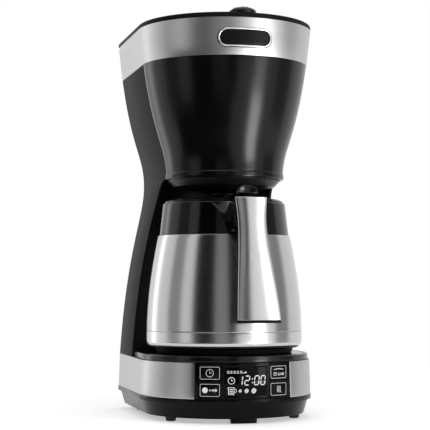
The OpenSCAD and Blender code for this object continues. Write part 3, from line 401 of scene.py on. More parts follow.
def arc_block(name, points, middle, half, edge=0.3, steps=None):
    """A sector of a closed section, centred at an angle from the front (+ is to the right)"""
    start = math.radians(-90 + middle - half)
    ob = section(name, points, angle=start)
    bpy.ops.mesh.edge_face_add()
    bpy.ops.mesh.select_all(action="SELECT")
    spin(math.radians(2 * half), steps or max(6, round(half)))
    merge()
    deselect()
    return bevel(ob, edge) if edge else ob


def box(low, high):
    """A box from two corners in millimetres"""
    deselect()
    bpy.ops.mesh.primitive_cube_add(size=1, location=(0, 0, 0))
    ob = bpy.context.object
    bpy.ops.object.mode_set(mode="EDIT")
    bpy.ops.transform.resize(value=tuple((b - a) * MM for a, b in zip(low, high)))
    bpy.ops.transform.translate(value=tuple((a + b) / 2 * MM for a, b in zip(low, high)))
    deselect()
    return ob


def carve(ob, tool):
    """Takes one piece out of another and removes it"""
    modify(ob, "BOOLEAN", object=tool, operation="DIFFERENCE", solver="EXACT")
    bpy.data.objects.remove(tool)
    return ob


def cut(ob, low, high):
    """Takes a box out of a piece"""
    return carve(ob, box(low, high))


def join(name, parts):
    """Makes several parts one piece"""
    deselect()
    for p in parts:
        p.select_set(True)
    bpy.context.view_layer.objects.active = parts[0]
    bpy.ops.object.join()
    ob = bpy.context.object
    ob.name = name
    return ob


def finish(ob, material, body, slot, *nodes, angle=32):
    """Smooths a piece, paints it and puts it on its body in place of its nodes"""
    smooth(ob, angle)
    ob.data.materials.clear()
    ob.data.materials.append(material)
    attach(ob, body)
    if nodes:
        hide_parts(*nodes)
    return ob


# ---------- Finishes ----------
class Sock:
    """A shader socket that can be used in sums"""

    def __init__(self, maker, socket):
        self.maker, self.socket = maker, socket

    def __add__(self, other):
        return self.maker.math("ADD", self, other)

    __radd__ = __add__

    def __mul__(self, other):
        return self.maker.math("MULTIPLY", self, other)

    __rmul__ = __mul__


class Finish:
    """Makes one material's or the world's nodes"""

    def __init__(self, owner):
        owner.use_nodes = True
        self.owner = owner
        self.tree = owner.node_tree
        self.tree.nodes.clear()

    def node(self, kind, settings=None, inputs=None, out=0):
        """A node with its settings made first, then the values or links of its sockets"""
        n = self.tree.nodes.new(kind)
        for key, value in (settings or {}).items():
            if key == "stops":
                ramp = n.color_ramp
                while len(ramp.elements) < len(value):
                    ramp.elements.new(0.5)
                for e, (place, shade) in zip(ramp.elements, value):
                    e.position = place
                    e.color = (shade, shade, shade, 1)
            else:
                setattr(n, key, value)
        for key, value in (inputs or {}).items():
            if isinstance(value, Sock):
                self.tree.links.new(value.socket, n.inputs[key])
            else:
                n.inputs[key].default_value = value
        return Sock(self, n.outputs[out]) if n.outputs else n

    def math(self, operation, a, b):
        return self.node("ShaderNodeMath", {"operation": operation}, {0: a, 1: b})

    def place(self, scale=(1, 1, 1)):
        """Object coordinates, stretched"""
        co = self.node("ShaderNodeTexCoord", out="Object")
        return self.node("ShaderNodeMapping", None, {"Vector": co, "Scale": scale})

    def noise(self, scale, stretch=(1, 1, 1), detail=4.0, roughness=0.55):
        return self.node("ShaderNodeTexNoise", None, {
            "Vector": self.place(stretch), "Scale": scale, "Detail": detail, "Roughness": roughness})

    def ramp(self, value, *stops):
        return self.node("ShaderNodeValToRGB", {"stops": stops}, {"Fac": value})

    def level(self, value, low, high):
        """Brings a value from 0..1 to low..high"""
        return self.node("ShaderNodeMapRange", None, {"Value": value, "To Min": low, "To Max": high})

    def blend(self, factor, a, b):
        return self.node("ShaderNodeMix", {"data_type": "RGBA"}, {0: factor, 6: a, 7: b}, out=2)

    def bump(self, height, strength, distance):
        return self.node("ShaderNodeBump", None, {
            "Height": height, "Strength": strength, "Distance": distance * MM})

    def surface(self, inputs):
        shader = self.node("ShaderNodeBsdfPrincipled", None, inputs)
        self.node("ShaderNodeOutputMaterial", None, {"Surface": shader})
        return self.owner


def material(name):
    """A new material whose nodes are still to be made"""
    return Finish(bpy.data.materials.new(name))


def toned(colour, factor):
    """A colour made darker or lighter"""
    return tuple(min(1, c * factor) for c in colour[:3]) + (1,)


def gloss_black(name="gloss_black", base=None, rough=0.19, spread=0.05, specular=0.24):
    """Polished black plastic with a faint haze of handling"""
    f = material(name)
    base = base or paint("gloss")
    haze = f.noise(38, detail=5)
    fine = f.noise(900, detail=2)
    return f.surface({
        "Base Color": f.blend(haze, base, toned(base, 1.7)),
        "Roughness": f.level(haze, rough, rough + spread),
        "Specular IOR Level": specular,
        "Normal": f.bump(fine, 0.03, 0.02)})


def satin_black(name="satin_black", base=None, rough=0.44, grain=1500, depth=0.25, specular=0.03):
    """Moulded black plastic with a fine spark-eroded grain"""
    f = material(name)
    base = base or paint("satin")
    cloud = f.noise(24, detail=3)
    pores = f.noise(grain, detail=2)
    return f.surface({
        "Base Color": f.blend(cloud, base, toned(base, 1.35)),
        "Roughness": f.level(pores, rough - 0.05, rough + 0.09),
        "Specular IOR Level": specular,
        "Normal": f.bump(pores, depth, 0.03)})


def brushed_steel(name="brushed_steel", stretch=(5, 5, 1900), rough=0.24, contrast=0.05, base=None,
                  anisotropy=0.6):
    """Steel with fine lines, which run round the machine if the stretch is along its height"""
    f = material(name)
    base = base or paint("steel")
    lines = f.noise(1.0, stretch, detail=2, roughness=0.5)
    broad = f.noise(1.0, (14, 14, 14), detail=2)
    mix = lines * 0.75 + broad * 0.25
    return f.surface({
        "Base Color": f.blend(mix, toned(base, 1 - contrast), toned(base, 1 + contrast)), "Metallic": 1.0,
        "Roughness": f.level(lines, rough - 0.02, rough + 0.03),
        "Anisotropic": anisotropy,
        "Normal": f.bump(lines, 0.012, 0.01)})


def bright_metal(name="bright_metal", base=None, rough=0.1):
    """Bright rims, pins and screws with light wear"""
    f = material(name)
    base = base or paint("chrome")
    wear = f.noise(60, detail=6)
    fine = f.noise(1600, detail=2)
    return f.surface({
        "Base Color": f.blend(wear, toned(base, 0.9), base),
        "Metallic": 1.0, "Roughness": f.level(wear, rough, rough + 0.12),
        "Normal": f.bump(fine, 0.04, 0.01)})


def rubber(name="rubber"):
    """Dull rubber with dust in its pores"""
    f = material(name)
    pores = f.noise(1100, detail=3)
    dust = f.noise(70, detail=5)
    base = paint("rubber")
    return f.surface({
        "Base Color": f.blend(dust, base, (0.03, 0.03, 0.03, 1)),
        "Roughness": f.level(pores, 0.6, 0.85), "Normal": f.bump(pores, 0.4, 0.05)})


def moulded(name, base, rough=0.4, specular=0.4):
    """Plain moulded plastic for the parts inside"""
    f = material(name)
    cloud = f.noise(30, detail=4)
    pores = f.noise(900, detail=3)
    return f.surface({
        "Base Color": f.blend(cloud, toned(base, 0.88), toned(base, 1)),
        "Roughness": f.level(pores, rough - 0.06, rough + 0.1),
        "Specular IOR Level": specular, "Normal": f.bump(pores, 0.15, 0.03)})


def clear_plastic(name="clear_plastic"):
    """Clear plastic with a slight haze"""
    f = material(name)
    haze = f.noise(45, detail=4)
    return f.surface({
        "Base Color": f.blend(haze, (0.80, 0.84, 0.86, 1), (0.9, 0.93, 0.95, 1)),
        "Roughness": f.level(haze, 0.05, 0.2), "IOR": 1.49, "Transmission Weight": 0.85})


def glowing_mark(name="panel_marks"):
    """Printed light marks that shine a little"""
    f = material(name)
    fine = f.noise(500, detail=2)
    tone = f.blend(fine, toned(paint("mark"), 0.93), paint("mark"))
    return f.surface({
        "Base Color": tone, "Roughness": f.level(fine, 0.35, 0.5),
        "Emission Color": tone, "Emission Strength": 0.25})


def fine_filter(name="fine_filter"):
    """A golden sieve with rows of fine holes"""
    f = material(name)
    co = f.node("ShaderNodeTexCoord", out="Object")
    cells = f.node("ShaderNodeTexVoronoi", {"feature": "F1"},
                   {"Vector": co, "Scale": 900.0, "Randomness": 0.15})
    holes = f.ramp(cells, (0.18, 0.0), (0.3, 1.0))
    wear = f.noise(40, detail=4)
    tone = f.blend(wear, paint("mesh"), (0.66, 0.52, 0.24, 1))
    return f.surface({
        "Base Color": f.blend(holes, (0.03, 0.025, 0.015, 1), tone), "Metallic": 1.0,
        "Roughness": f.level(wear, 0.25, 0.42), "Normal": f.bump(holes, 0.5, 0.05)})


def circuit(name="circuit_board"):
    """Green board with paler tracks"""
    f = material(name)
    tracks = f.node("ShaderNodeTexVoronoi", {"feature": "DISTANCE_TO_EDGE"},
                    {"Vector": f.place((1, 0.1, 1)), "Scale": 260.0, "Randomness": 0.6})
    line = f.ramp(tracks, (0.04, 1.0), (0.09, 0.0))
    return f.surface({
        "Base Color": f.blend(line, (0.01, 0.08, 0.03, 1), (0.05, 0.2, 0.08, 1)),
        "Roughness": 0.45, "Normal": f.bump(line, 0.3, 0.05)})


# ---------- Stage ----------
CAMERA_TURN = math.radians(-14.23)      # the camera stands this far to the left of the front
CAMERA_PLACE = (-0.3422, -1.3404, 0.136)
CAMERA_UP = math.radians(2.68)
CAMERA_PAN = math.radians(0.37)
LENS = 115.8            # focal length and the sensor's width, in millimetres
SENSOR = 36
AMBIENT = 0.62          # brightness of the world for the rays that don't show it
FLOOR_RADIUS = 0.42
FLOOR_GLOW = 0.46
CARD_DISTANCE = 1.9
# Cloth cards that stand round the table and make the dark bands in the steel. Four are in front, and
# one is at each side, where the right one reaches 18 degrees past the side. The camera doesn't see them.
# name, from and to in degrees from the camera (+ to the right), low and high end, shade
CARDS = (
    ("card_low", -84, 12, -1.2, -0.2, 0.004),
    ("card_far_left", -90, -66, -0.2, 1.9, 0.42),
    ("card_left", -47, -14, -0.2, 1.9, 0.004),
    ("card_middle", -14, 7, -0.2, 1.9, 0.4),
    ("card_right", 7, 19, -0.2, 1.9, 0.004),
    ("card_far_right", 80, 108, -0.2, 1.9, 0.4),
)
# name, degrees from the camera (+ to the right), distance, height, size, brightness
LAMPS = (
    ("key", 52, 1.5, 0.55, (0.42, 1.1), 3.6),
    ("key_low", 50, 1.5, -0.42, (0.46, 0.8), 13.0),
    ("left_strip", -124, 1.5, 0.2, (0.36, 1.9), 1.3),
    ("top", 0, 0.6, 2.0, (1.4, 1.4), 1.2),
)


class COFFEE_OT_stage(bpy.types.Operator):
    """Floor, studio light, world and camera"""
    bl_idname = "coffee.stage"
    bl_label = "Stage"

    def execute(self, context):
        scene = context.scene
        scene.view_settings.view_transform = "Standard"
        self.world(scene)
        self.floor()
        for lamp in LAMPS:
            self.lamp(*lamp)
        for card in CARDS:
            self.card(*card)
        self.camera(scene)
        return {"FINISHED"}

    def world(self, scene):
        """White for the rays that show it, and a little darker as a light"""
        world = bpy.data.worlds.new("studio")
        scene.world = world
        f = Finish(world)
        strength = f.math("MAXIMUM", self.shown(f), AMBIENT)
        back = f.node("ShaderNodeBackground", None, {"Color": (1, 1, 1, 1), "Strength": strength})
        f.node("ShaderNodeOutputWorld", None, {"Surface": back})

    def shown(self, f):
        """1 for the rays that show the white background: the camera's, mirrored and passing through"""
        rays = f.node("ShaderNodeLightPath").socket.node.outputs
        camera, glossy, through = (Sock(f, rays[name]) for name in (
            "Is Camera Ray", "Is Glossy Ray", "Is Transmission Ray"))
        return f.math("MAXIMUM", f.math("MAXIMUM", camera, glossy), through)

    def floor(self):
        """White table that shines a little, so that it melts into the background"""
        deselect()
        bpy.ops.mesh.primitive_circle_add(vertices=96, radius=FLOOR_RADIUS, fill_type="NGON",
                                          location=(0, 0, -0.0002))
        ob = bpy.context.object
        ob.name = "floor"
        f = material("floor")
        paper = f.node("ShaderNodeBsdfDiffuse", None, {
            "Color": f.blend(f.noise(3, detail=3), (0.86, 0.86, 0.86, 1), (0.88, 0.88, 0.88, 1))})
        glow = f.node("ShaderNodeEmission", None, {
            "Color": (1, 1, 1, 1), "Strength": self.shown(f) * FLOOR_GLOW})
        both = f.node("ShaderNodeAddShader", None, {0: paper, 1: glow})
        f.node("ShaderNodeOutputMaterial", None, {"Surface": both})
        ob.data.materials.append(f.owner)

    def lamp(self, name, azimuth, distance, height, size, brightness):
        """An area lamp that is aimed at the machine"""
        a = math.radians(azimuth) + CAMERA_TURN
        place = Vector((math.sin(a) * distance, -math.cos(a) * distance + AXIS_Y * MM, height))
        data = bpy.data.lights.new(name, "AREA")
        data.shape = "RECTANGLE"
        data.size, data.size_y = size
        data.energy = brightness * math.pi * size[0] * size[1]
        lamp = bpy.data.objects.new(name, data)
        lamp.location = place
        aim = Vector((0, AXIS_Y * MM, min(height, 0.3) if height > 0 else 0.2)) - place
        lamp.rotation_euler = aim.to_track_quat("-Z", "Y").to_euler()
        lamp.visible_camera = False
        bpy.context.scene.collection.objects.link(lamp)

    def card(self, name, start, end, low, high, shade):
        """A cloth card that faces the machine"""
        width = 2 * CARD_DISTANCE * math.tan(math.radians(end - start) / 2)
        a = math.radians((start + end) / 2) + CAMERA_TURN
        deselect()
        bpy.ops.mesh.primitive_grid_add(x_subdivisions=2, y_subdivisions=2, size=1)
        ob = bpy.context.object
        ob.name = name
        ob.scale = (width, high - low, 1)
        ob.rotation_euler = (math.pi / 2, 0, a)
        ob.location = (math.sin(a) * CARD_DISTANCE, -math.cos(a) * CARD_DISTANCE, (low + high) / 2)
        bpy.ops.object.transform_apply(location=True, rotation=True, scale=True)
        f = material(name)
        grey = (shade, shade, shade, 1)
        cloth = f.node("ShaderNodeBsdfDiffuse", None, {
            "Color": f.blend(f.noise(40, detail=3), grey, toned(grey, 1.2))})
        f.node("ShaderNodeOutputMaterial", None, {"Surface": cloth})
        ob.data.materials.append(f.owner)
        ob.visible_camera = False

    def camera(self, scene):
        data = bpy.data.cameras.new("camera")
        data.lens = LENS
        data.sensor_width = SENSOR
        data.clip_end = 50
        cam = bpy.data.objects.new("camera", data)
        cam.location = CAMERA_PLACE
        cam.rotation_euler = (math.pi / 2 + CAMERA_UP, 0, CAMERA_TURN + CAMERA_PAN)
        scene.collection.objects.link(cam)
        scene.camera = cam


# ---------- Brew head and column ----------
class COFFEE_OT_brew_head(bpy.types.Operator):
    """Glossy shell of the brew head and the ring under it"""
    bl_idname = "coffee.brew_head"
    bl_label = "Brew head"

    def execute(self, context):
        s = sizes()
        points = body_points(s)
        ring_top = s["waist_z"] + 6
        shell_top = s["band_top_z"] - s["top_band_h"] - SEAT
        outer = span(points, ring_top, shell_top)
        inner = span(points, ring_top, shell_top, WALL)
        shell = half_turned("brew_shell", outer + inner[::-1])
        cap_ends()
        bevel(shell, 0.3)
        finish(shell, gloss_black("funnel_gloss"), "root", "black_gloss", "funnel_shell")

        r = table(points)(ring_top) + 0.6
        low, high = s["waist_z"], ring_top
        ring = half_turned("brew_ring", [
            (r - 2.9, low), (r - 0.9, low), (r - 0.25, low + 0.5), (r, low + 1.3), (r, high - 1.6),
            (r - 0.2, high - 0.7), (r - 0.7, high - SEAT), (r - 2.9, high - SEAT)])
        cap_ends()
        satin = satin_black("ring_satin", (0.003, 0.003, 0.003, 1), rough=0.18, grain=1200, depth=0.06,
                            specular=0.22)
        finish(ring, satin, "root", "black_satin", "funnel_ring")
        return {"FINISHED"}


class COFFEE_OT_housing(bpy.types.Operator):
    """Side walls and back, from the base to the top band"""
    bl_idname = "coffee.housing"
    bl_label = "Housing"

    def execute(self, context):
        s = sizes()
        points = body_points(s)
        z0, z1 = s["base_top_z"], s["band_top_z"] - s["top_band_h"] - SEAT
        waist = s["waist_z"]
        bay = [(BAY_DEPTH, s["collar_z"] - 2), (BAY_DEPTH, s["collar_z"] + 25), (40.0, waist - 4),
               (16.0, waist)]
        edge = [bezier(bay, i / 12) for i in range(13)]
        front = table([(BAY_DEPTH, z0)] + edge)
        line = span(points, z0, z1)
        width = table(line)
        heights = sorted({round(z, 3) for _, z in line if abs(z - waist) > 3}
                         | {round(z, 3) for _, z in edge} | {waist + 0.01})
        ob = section("housing", [(width(z), z) for z in heights], closed=False)
        extrude(REAR)
        extrude()
        bm = bmesh.from_edit_mesh(ob.data)
        for v in bm.verts:
            if v.select:
                v.co.x = 0
        bmesh.update_edit_mesh(ob.data)
        on_axis = at(Y, AXIS_Y)
        shift(lambda co: on_axis(co) and co.z < waist + 0.005,
              lambda co: (co.x, AXIS_Y + front(co.z), co.z))
        deselect()
        modify(ob, "MIRROR", use_axis=(True, False, False), use_clip=True, merge_threshold=NEAR * MM)
        wall(ob, WALL)
        bevel(ob, 0.5)
        cut(ob, (-7, BACK - WALL - 1, 110), (7, BACK + 1, 330))     # for the level window
        for side in (-1, 1):
            left, right = sorted((side * 22, side * 50))
            for i in range(5):
                z = s["band_top_z"] - s["top_band_h"] - 14 - 5.5 * i
                cut(ob, (left, BACK - 1, z - 1.3), (right, BACK + 1, z + 1.3))      # a shallow vent
        satin = satin_black("housing_satin", paint("housing"), rough=0.42, specular=0.022)
        finish(ob, satin, "root", "black_satin", "rear_housing")
        return {"FINISHED"}


class COFFEE_OT_top_band(bpy.types.Operator):
    """Brushed steel band round the top, with its bare badge place"""
    bl_idname = "coffee.top_band"
    bl_label = "Top band"

    def execute(self, context):
        s = sizes()
        width = table(body_points(s))
        z0, z1 = s["band_top_z"] - s["top_band_h"], s["band_top_z"]
        w0, w1 = width(z0) + 0.3, width(z1) + 0.3
        ob = half_turned("top_band", [(w0, z0), (w1, z1)], closed=False)
        run_back(REAR - 1)
        deselect()
        wall(ob, 1.0)
        bevel(ob, 0.25, 2)
        hinge_y, hinge_z, room = BACK - 3.5, z1 + 2.5, 4.7
        cut(ob, (-100, hinge_y - room, hinge_z - room), (100, BACK + 1, z1 + 1))
        finish(ob, brushed_steel("band_steel", rough=0.32), "root", "brushed_steel", "top_band")
        self.badge(w0, (w1 - w0) / (z1 - z0), z0, z0 + 0.46 * s["top_band_h"])
        return {"FINISHED"}

    def badge(self, low_r, tilt, low_z, middle_z):
        """Bright rim and bare plate that follow the band's curve and its tilt, with a dark ring round the rim
        that is painted shadow
        """
        def on_band(u, dz, out):
            """A point that lies a little outside the band, u millimetres to the side of the front"""
            r = low_r + tilt * (middle_z + dz - low_z) + out
            return (u, AXIS_Y - math.sqrt(max(r * r - u * u, 0)), middle_z + dz)

        def hoop(name, outlines):
            """A closed hoop through pills of half width, half height and distance from the band"""
            return loft(name, [[on_band(u, dz, out) for u, dz in self.pill(w, h)] for w, h, out in outlines],
                        tube=True)

        rim = hoop("badge_rim", ((26.5, 8.8, 0.05), (26.5, 8.8, 1.05), (26.2, 8.5, 1.38), (25.75, 8.05, 1.48),
                                 (25.3, 7.6, 1.38), (25.1, 7.4, 1.1), (25.1, 7.4, 0.05)))
        finish(rim, bright_metal("badge_chrome", rough=0.08), "root", "bright_metal", "badge_rim", angle=60)
        half_w, half_h, steps = 25.02, 7.32, 48
        across = ((-1, 0.05), (-1, 0.8), (-0.96, 0.95), (-0.4, 1.02), (0.4, 1.02), (0.96, 0.95), (1, 0.8),
                  (1, 0.05))
        rings = []
        for i in range(steps + 1):
            u = -half_w + 2 * half_w * i / steps
            k = max(0.0, abs(u) - (half_w - half_h))
            h = max(0.25, math.sqrt(max(half_h ** 2 - k * k, 0)))
            rings.append([on_band(u, dz * h, out) for dz, out in across])
        plate = loft("badge_plate", rings)
        # A black ring just outside the rim and 0.3 mm proud of the band is painted shadow for the gap round
        # the badge. It is joined to the plate and takes its black.
        shadow_ring = hoop("badge_seat", ((27.2, 9.5, 0.02), (27.1, 9.4, 0.3), (26.6, 8.9, 0.3), (26.6, 8.9, 0.02)))
        plate = join("badge_plate", [plate, shadow_ring])
        finish(plate, gloss_black("badge_gloss", (0.006, 0.006, 0.006, 1), 0.3, 0.06, 0.08), "root",
               "black_gloss", "badge_plate", angle=40)

    def pill(self, half_w, half_h, round_steps=14, straight_steps=12):
        """The outline of a bar with round ends"""
        run = half_w - half_h
        step = 2 * run / straight_steps
        points = []
        for side in (1, -1):
            for i in range(round_steps + 1):
                a = math.radians(-90 + 180 * i / round_steps)
                points.append((side * (run + half_h * math.cos(a)), side * half_h * math.sin(a)))
            points += [(side * (run - step * k), side * half_h) for k in range(1, straight_steps)]
        return points


class COFFEE_OT_lid(bpy.types.Operator):
    """Lid with its round ribbed grip"""
    bl_idname = "coffee.lid"
    bl_label = "Lid"

    def execute(self, context):
        s = sizes()
        half, z0, z1 = s["top_half"], s["band_top_z"] + 0.4, s["band_top_z"] + 5
        lid = half_turned("lid", [(half + 0.2, z0), (half + 0.2, z1 - 1.6), (half - 0.2, z1 - 0.7),
                                  (half - 1.4, z1)], closed=False)
        run_back(REAR)
        close_back()
        pick(at(Z, z1))
        bpy.ops.mesh.edge_face_add()
        # a shallow step inside the rim
        bpy.ops.mesh.inset(thickness=5 * MM, depth=0)
        bpy.ops.mesh.inset(thickness=0.8 * MM, depth=-0.7 * MM)
        merge()
        deselect()
        modify(lid, "SOLIDIFY", thickness=1.7 * MM, offset=-1, use_even_offset=True)
        bevel(lid, 0.3, 2, 25)
        lug_x, notch, gap = 26, 3.2, 2.5 + 0.7
        for x in (-lug_x, lug_x):
            cut(lid, (x - notch, BACK - 9.5, z0 - 2), (x + notch, BACK + 1, z1 + 1))
        knuckle = bevel(box((gap - lug_x, BACK - 7, z0 + 0.05), (lug_x - gap, BACK - 0.8, z0 + 4.05)), 0.8)
        lid = join("lid_shell", [lid, knuckle])
        satin = satin_black("lid_satin", paint("lid"), rough=0.42, depth=0.2)
        finish(lid, satin, "lid", "black_satin", "lid")
        self.grip(13.5, AXIS_Y - (half - 15), z1 + SEAT)
        return {"FINISHED"}

    def grip(self, r, y, base):
        """A round grip with a slope cut into its left side and three ribs on top"""
        profile = [(0, base), (r - 0.4, base), (r, base + 0.4), (r, base + 2.2), (r - 0.35, base + 3.4),
                   (r - 1.3, base + 4.4), (r - 4, base + 5.75), (r - 8, base + 6.6), (0, base + 6.7)]
        knob = section("lid_grip", profile, closed=False)
        spin(2 * math.pi, 96)
        merge()
        move(knob, y=y - AXIS_Y)
        tool = box((-15, -30, -15), (15, 30, 15))
        activate(tool)
        bpy.ops.object.mode_set(mode="EDIT")
        slope = math.radians(34)
        c, s = math.cos(slope), math.sin(slope)
        pivot = Vector((-r - 1, y, base + 1.75))
        shift(lambda co: True, lambda co: pivot + Vector((
            (co.x + 15) * c - (co.z + 15) * s, co.y, (co.x + 15) * s + (co.z + 15) * c)))
        deselect()
        carve(knob, tool)
        bevel(knob, 0.35, 3, 25)
        pitch, first_x = 2.4, -1.4
        rib = bevel(box((first_x - 0.6, y - 6, base + 0.6), (first_x + 0.6, y + 6, base + 7.0)), 0.3)
        knob = join("lid_grip", [knob, rib, copied(rib, pitch), copied(rib, 2 * pitch)])
        finish(knob, gloss_black("grip_gloss", (0.006, 0.006, 0.006, 1), 0.2, 0.1), "lid", "black_gloss",
               "lid_knob")


# ---------- Base ----------
class COFFEE_OT_base(bpy.types.Operator):
    """Pan, steel skins, deck and feet"""
    bl_idname = "coffee.base"
    bl_label = "Base"

    def execute(self, context):
        s = sizes()
        half, z0, z1 = s["base_half"], s["base_low_z"], s["base_top_z"]
        foot = 4.5
        self.pan(half, z0, foot)
        self.skins(half, z0, z1)
        self.deck(half - 1.5, z1, s["deck_z"])
        self.feet(foot - SEAT)
        return {"FINISHED"}

    def pan(self, half, high, low):
        """Tray with a lip under the steel skins, slots in its floor and a lug at the front"""
        pan_half, lip, lip_z = half - 5.5, half + 1.8, high - 4.5
        tray = half_turned("pan", [(pan_half, low), (pan_half + 0.35, low + 1.2), (half - 1.2, lip_z),
                                   (lip, lip_z), (lip, high - SEAT)], closed=False)
        run_back(REAR)
        close_back()
        pick(at(Z, low))
        bpy.ops.mesh.edge_face_add()
        merge()
        deselect()
        wall(tray, 2.0)
        bevel(tray, 0.5, 3, 25)
        for i in range(-4, 5):
            cut(tray, (i * 7 - 1.5, AXIS_Y + 30, low - 1), (i * 7 + 1.5, AXIS_Y + 62, low + 4))
        lug = arc_block("lug", [(pan_half - 14, 0), (pan_half - 1, 0), (pan_half - 1, low + 1),
                                (pan_half - 14, low + 1)], 0, 9.5, 0.8)
        satin = satin_black("pan_satin", (0.003, 0.003, 0.003, 1), rough=0.2, depth=0.08, specular=0.1)
        finish(join("pan_tray", [tray, lug]), satin, "root", "black_satin", "base_pan")

    def skins(self, half, low, high):
        """Steel skins on both sides of the panel"""
        panel_half = PANEL_HALF_A + 0.3     # in degrees
        skins = []
        for side in (1, -1):
            line = [(half + 1.5, low), (half + 1.42, low + 1.2), (half + 0.3, high - SEAT)]
            skin = section("base_skin", line, closed=False, angle=math.radians(-90 + side * panel_half))
            spin(math.radians(90 - panel_half) * side, 24)
            merge()
            run_back(REAR - 1)
            deselect()
            wall(skin, 0.95)
            bevel(skin, 0.3, 2)
            skins.append(skin)
        finish(join("base_skins", skins), brushed_steel("base_steel", rough=0.3, base=(0.45, 0.45, 0.455, 1)),
               "root", "brushed_steel", "base_band")

    def deck(self, half, low, high):
        """Deck with a groove round the carafe's place"""
        deck = d_body("deck", [(half, low), (half, high - 1.2), (half - 0.35, high - 0.35),
                               (half - 1.2, high)], BAY_DEPTH - SEAT, 0.25)
        carve(deck, turned("ring", slab(79.1, 80.1, high - 0.6, high + 1), edge=0))
        finish(deck, gloss_black("deck_gloss", (0.004, 0.004, 0.004, 1), 0.16, 0.06, 0.3),
               "root", "black_gloss", "base_deck")

    def feet(self, high):
        """One turned foot, copied to its four places"""
        first = turned("foot", [(0, 0), (3.6, 0), (4.4, 0.3), (4.8, 1.0), (5.4, 4.0), (5.5, high), (0, high)],
                       edge=0)
        feet = [copied(first, x, y) for x, y in ((-62, -36), (62, -36), (-68, 86), (68, 86))]
        bpy.data.objects.remove(first)
        finish(join("rubber_feet", feet), rubber(), "root", "rubber", "feet")


# ---------- Control panel ----------
PANEL_R = 85.9          # the panel's face
PANEL_IN = 84.3         # its inner face
PANEL_HALF_A = 33       # half its turn round the front, in degrees
KEY_Z = 40.1            # middle of the keys and of the window
KEY_PITCH = 16.1        # from the lower keys to the upper ones
KEY_A = 23.2            # from the front to the keys, in degrees
KEY_HALF_A = 6.8
KEY_HALF_H = 6.5
WINDOW_HALF_A = 14.12
WINDOW_HALF_H = 13.4


def on_panel(u, z, out=0.0):
    """A point on the curved panel, u millimetres round from the front"""
    a = u / PANEL_R
    r = PANEL_R + out
    return Vector((r * math.sin(a), AXIS_Y - r * math.cos(a), z))


def stroke(points, width, closed=False):
    """Quads along a path on the flat panel"""
    pts = [Vector(p) for p in points]
    n = len(pts)
    sides = []
    for i, p in enumerate(pts):
        a = pts[(i - 1) % n] if closed or i else p
        b = pts[(i + 1) % n] if closed or i < n - 1 else p
        d = (b - a).normalized()
        side = Vector((-d.y, d.x)) * width / 2
        turn = 1.0
        if (closed or 0 < i < n - 1) and (p - a).length > 1e-6:
            first = (p - a).normalized()
            turn = 1 / max(0.55, first.dot(d))
        sides.append((p + side * turn, p - side * turn))
    last = n if closed else n - 1
    return [(sides[i][0], sides[(i + 1) % n][0], sides[(i + 1) % n][1], sides[i][1]) for i in range(last)]


def circle(x, z, r, n=28, start=0.0, turn=360.0):
    """Points on a circle, or on an arc with both of its ends"""
    return [(x + r * math.cos(math.radians(start + turn * i / n)),
             z + r * math.sin(math.radians(start + turn * i / n))) for i in range(n + (turn < 360))]


def disc(x, z, r):
    """A filled circle"""
    return [tuple(Vector(p) for p in circle(x, z, r, 24))]


def bar(x0, z0, x1, z1):
    """A filled rectangle"""
    return [tuple(Vector(p) for p in ((x0, z0), (x1, z0), (x1, z1), (x0, z1)))]


def corners(x0, z0, x1, z1, r, n=5):
    """The points of a rectangle's round corners, from the right upper one on"""
    points = []
    for i, (x, z) in enumerate(((x1 - r, z1 - r), (x0 + r, z1 - r), (x0 + r, z0 + r), (x1 - r, z0 + r))):
        points += circle(x, z, r, n, 90 * i, 90)
    return points


def rounded(x0, z0, x1, z1, r=1.3, width=0.32):
    """A rounded rectangle's outline with short sides, so that it bends with the panel"""
    points = corners(x0, z0, x1, z1, r)
    full = []
    for a, b in zip(points, points[1:] + points[:1]):
        k = max(1, int((Vector(b) - Vector(a)).length / 2))
        full += [tuple(Vector(a).lerp(Vector(b), i / k)) for i in range(k)]
    return stroke(full, width, closed=True)


def marks(name, faces, body, look, out=0.02, thick=0.05):
    """Thin printed marks that lie on the panel"""
    deselect()
    bpy.ops.mesh.primitive_plane_add(size=MM)
    ob = bpy.context.object
    ob.name = name
    bm = bmesh.new()
    for face in faces:
        bm.faces.new([bm.verts.new((p[0], 0, p[1])) for p in face])
    bmesh.ops.recalc_face_normals(bm, faces=bm.faces)
    for v in bm.verts:
        v.co = on_panel(v.co.x, v.co.z, out) * MM
    bm.to_mesh(ob.data)
    bm.free()
    for f in ob.data.polygons:
        if f.normal.dot(f.center - Vector((0, AXIS_Y * MM, f.center.z))) < 0:
            f.flip()
    modify(ob, "SOLIDIFY", thickness=thick * MM, offset=1)
    return finish(ob, look, body, "display")


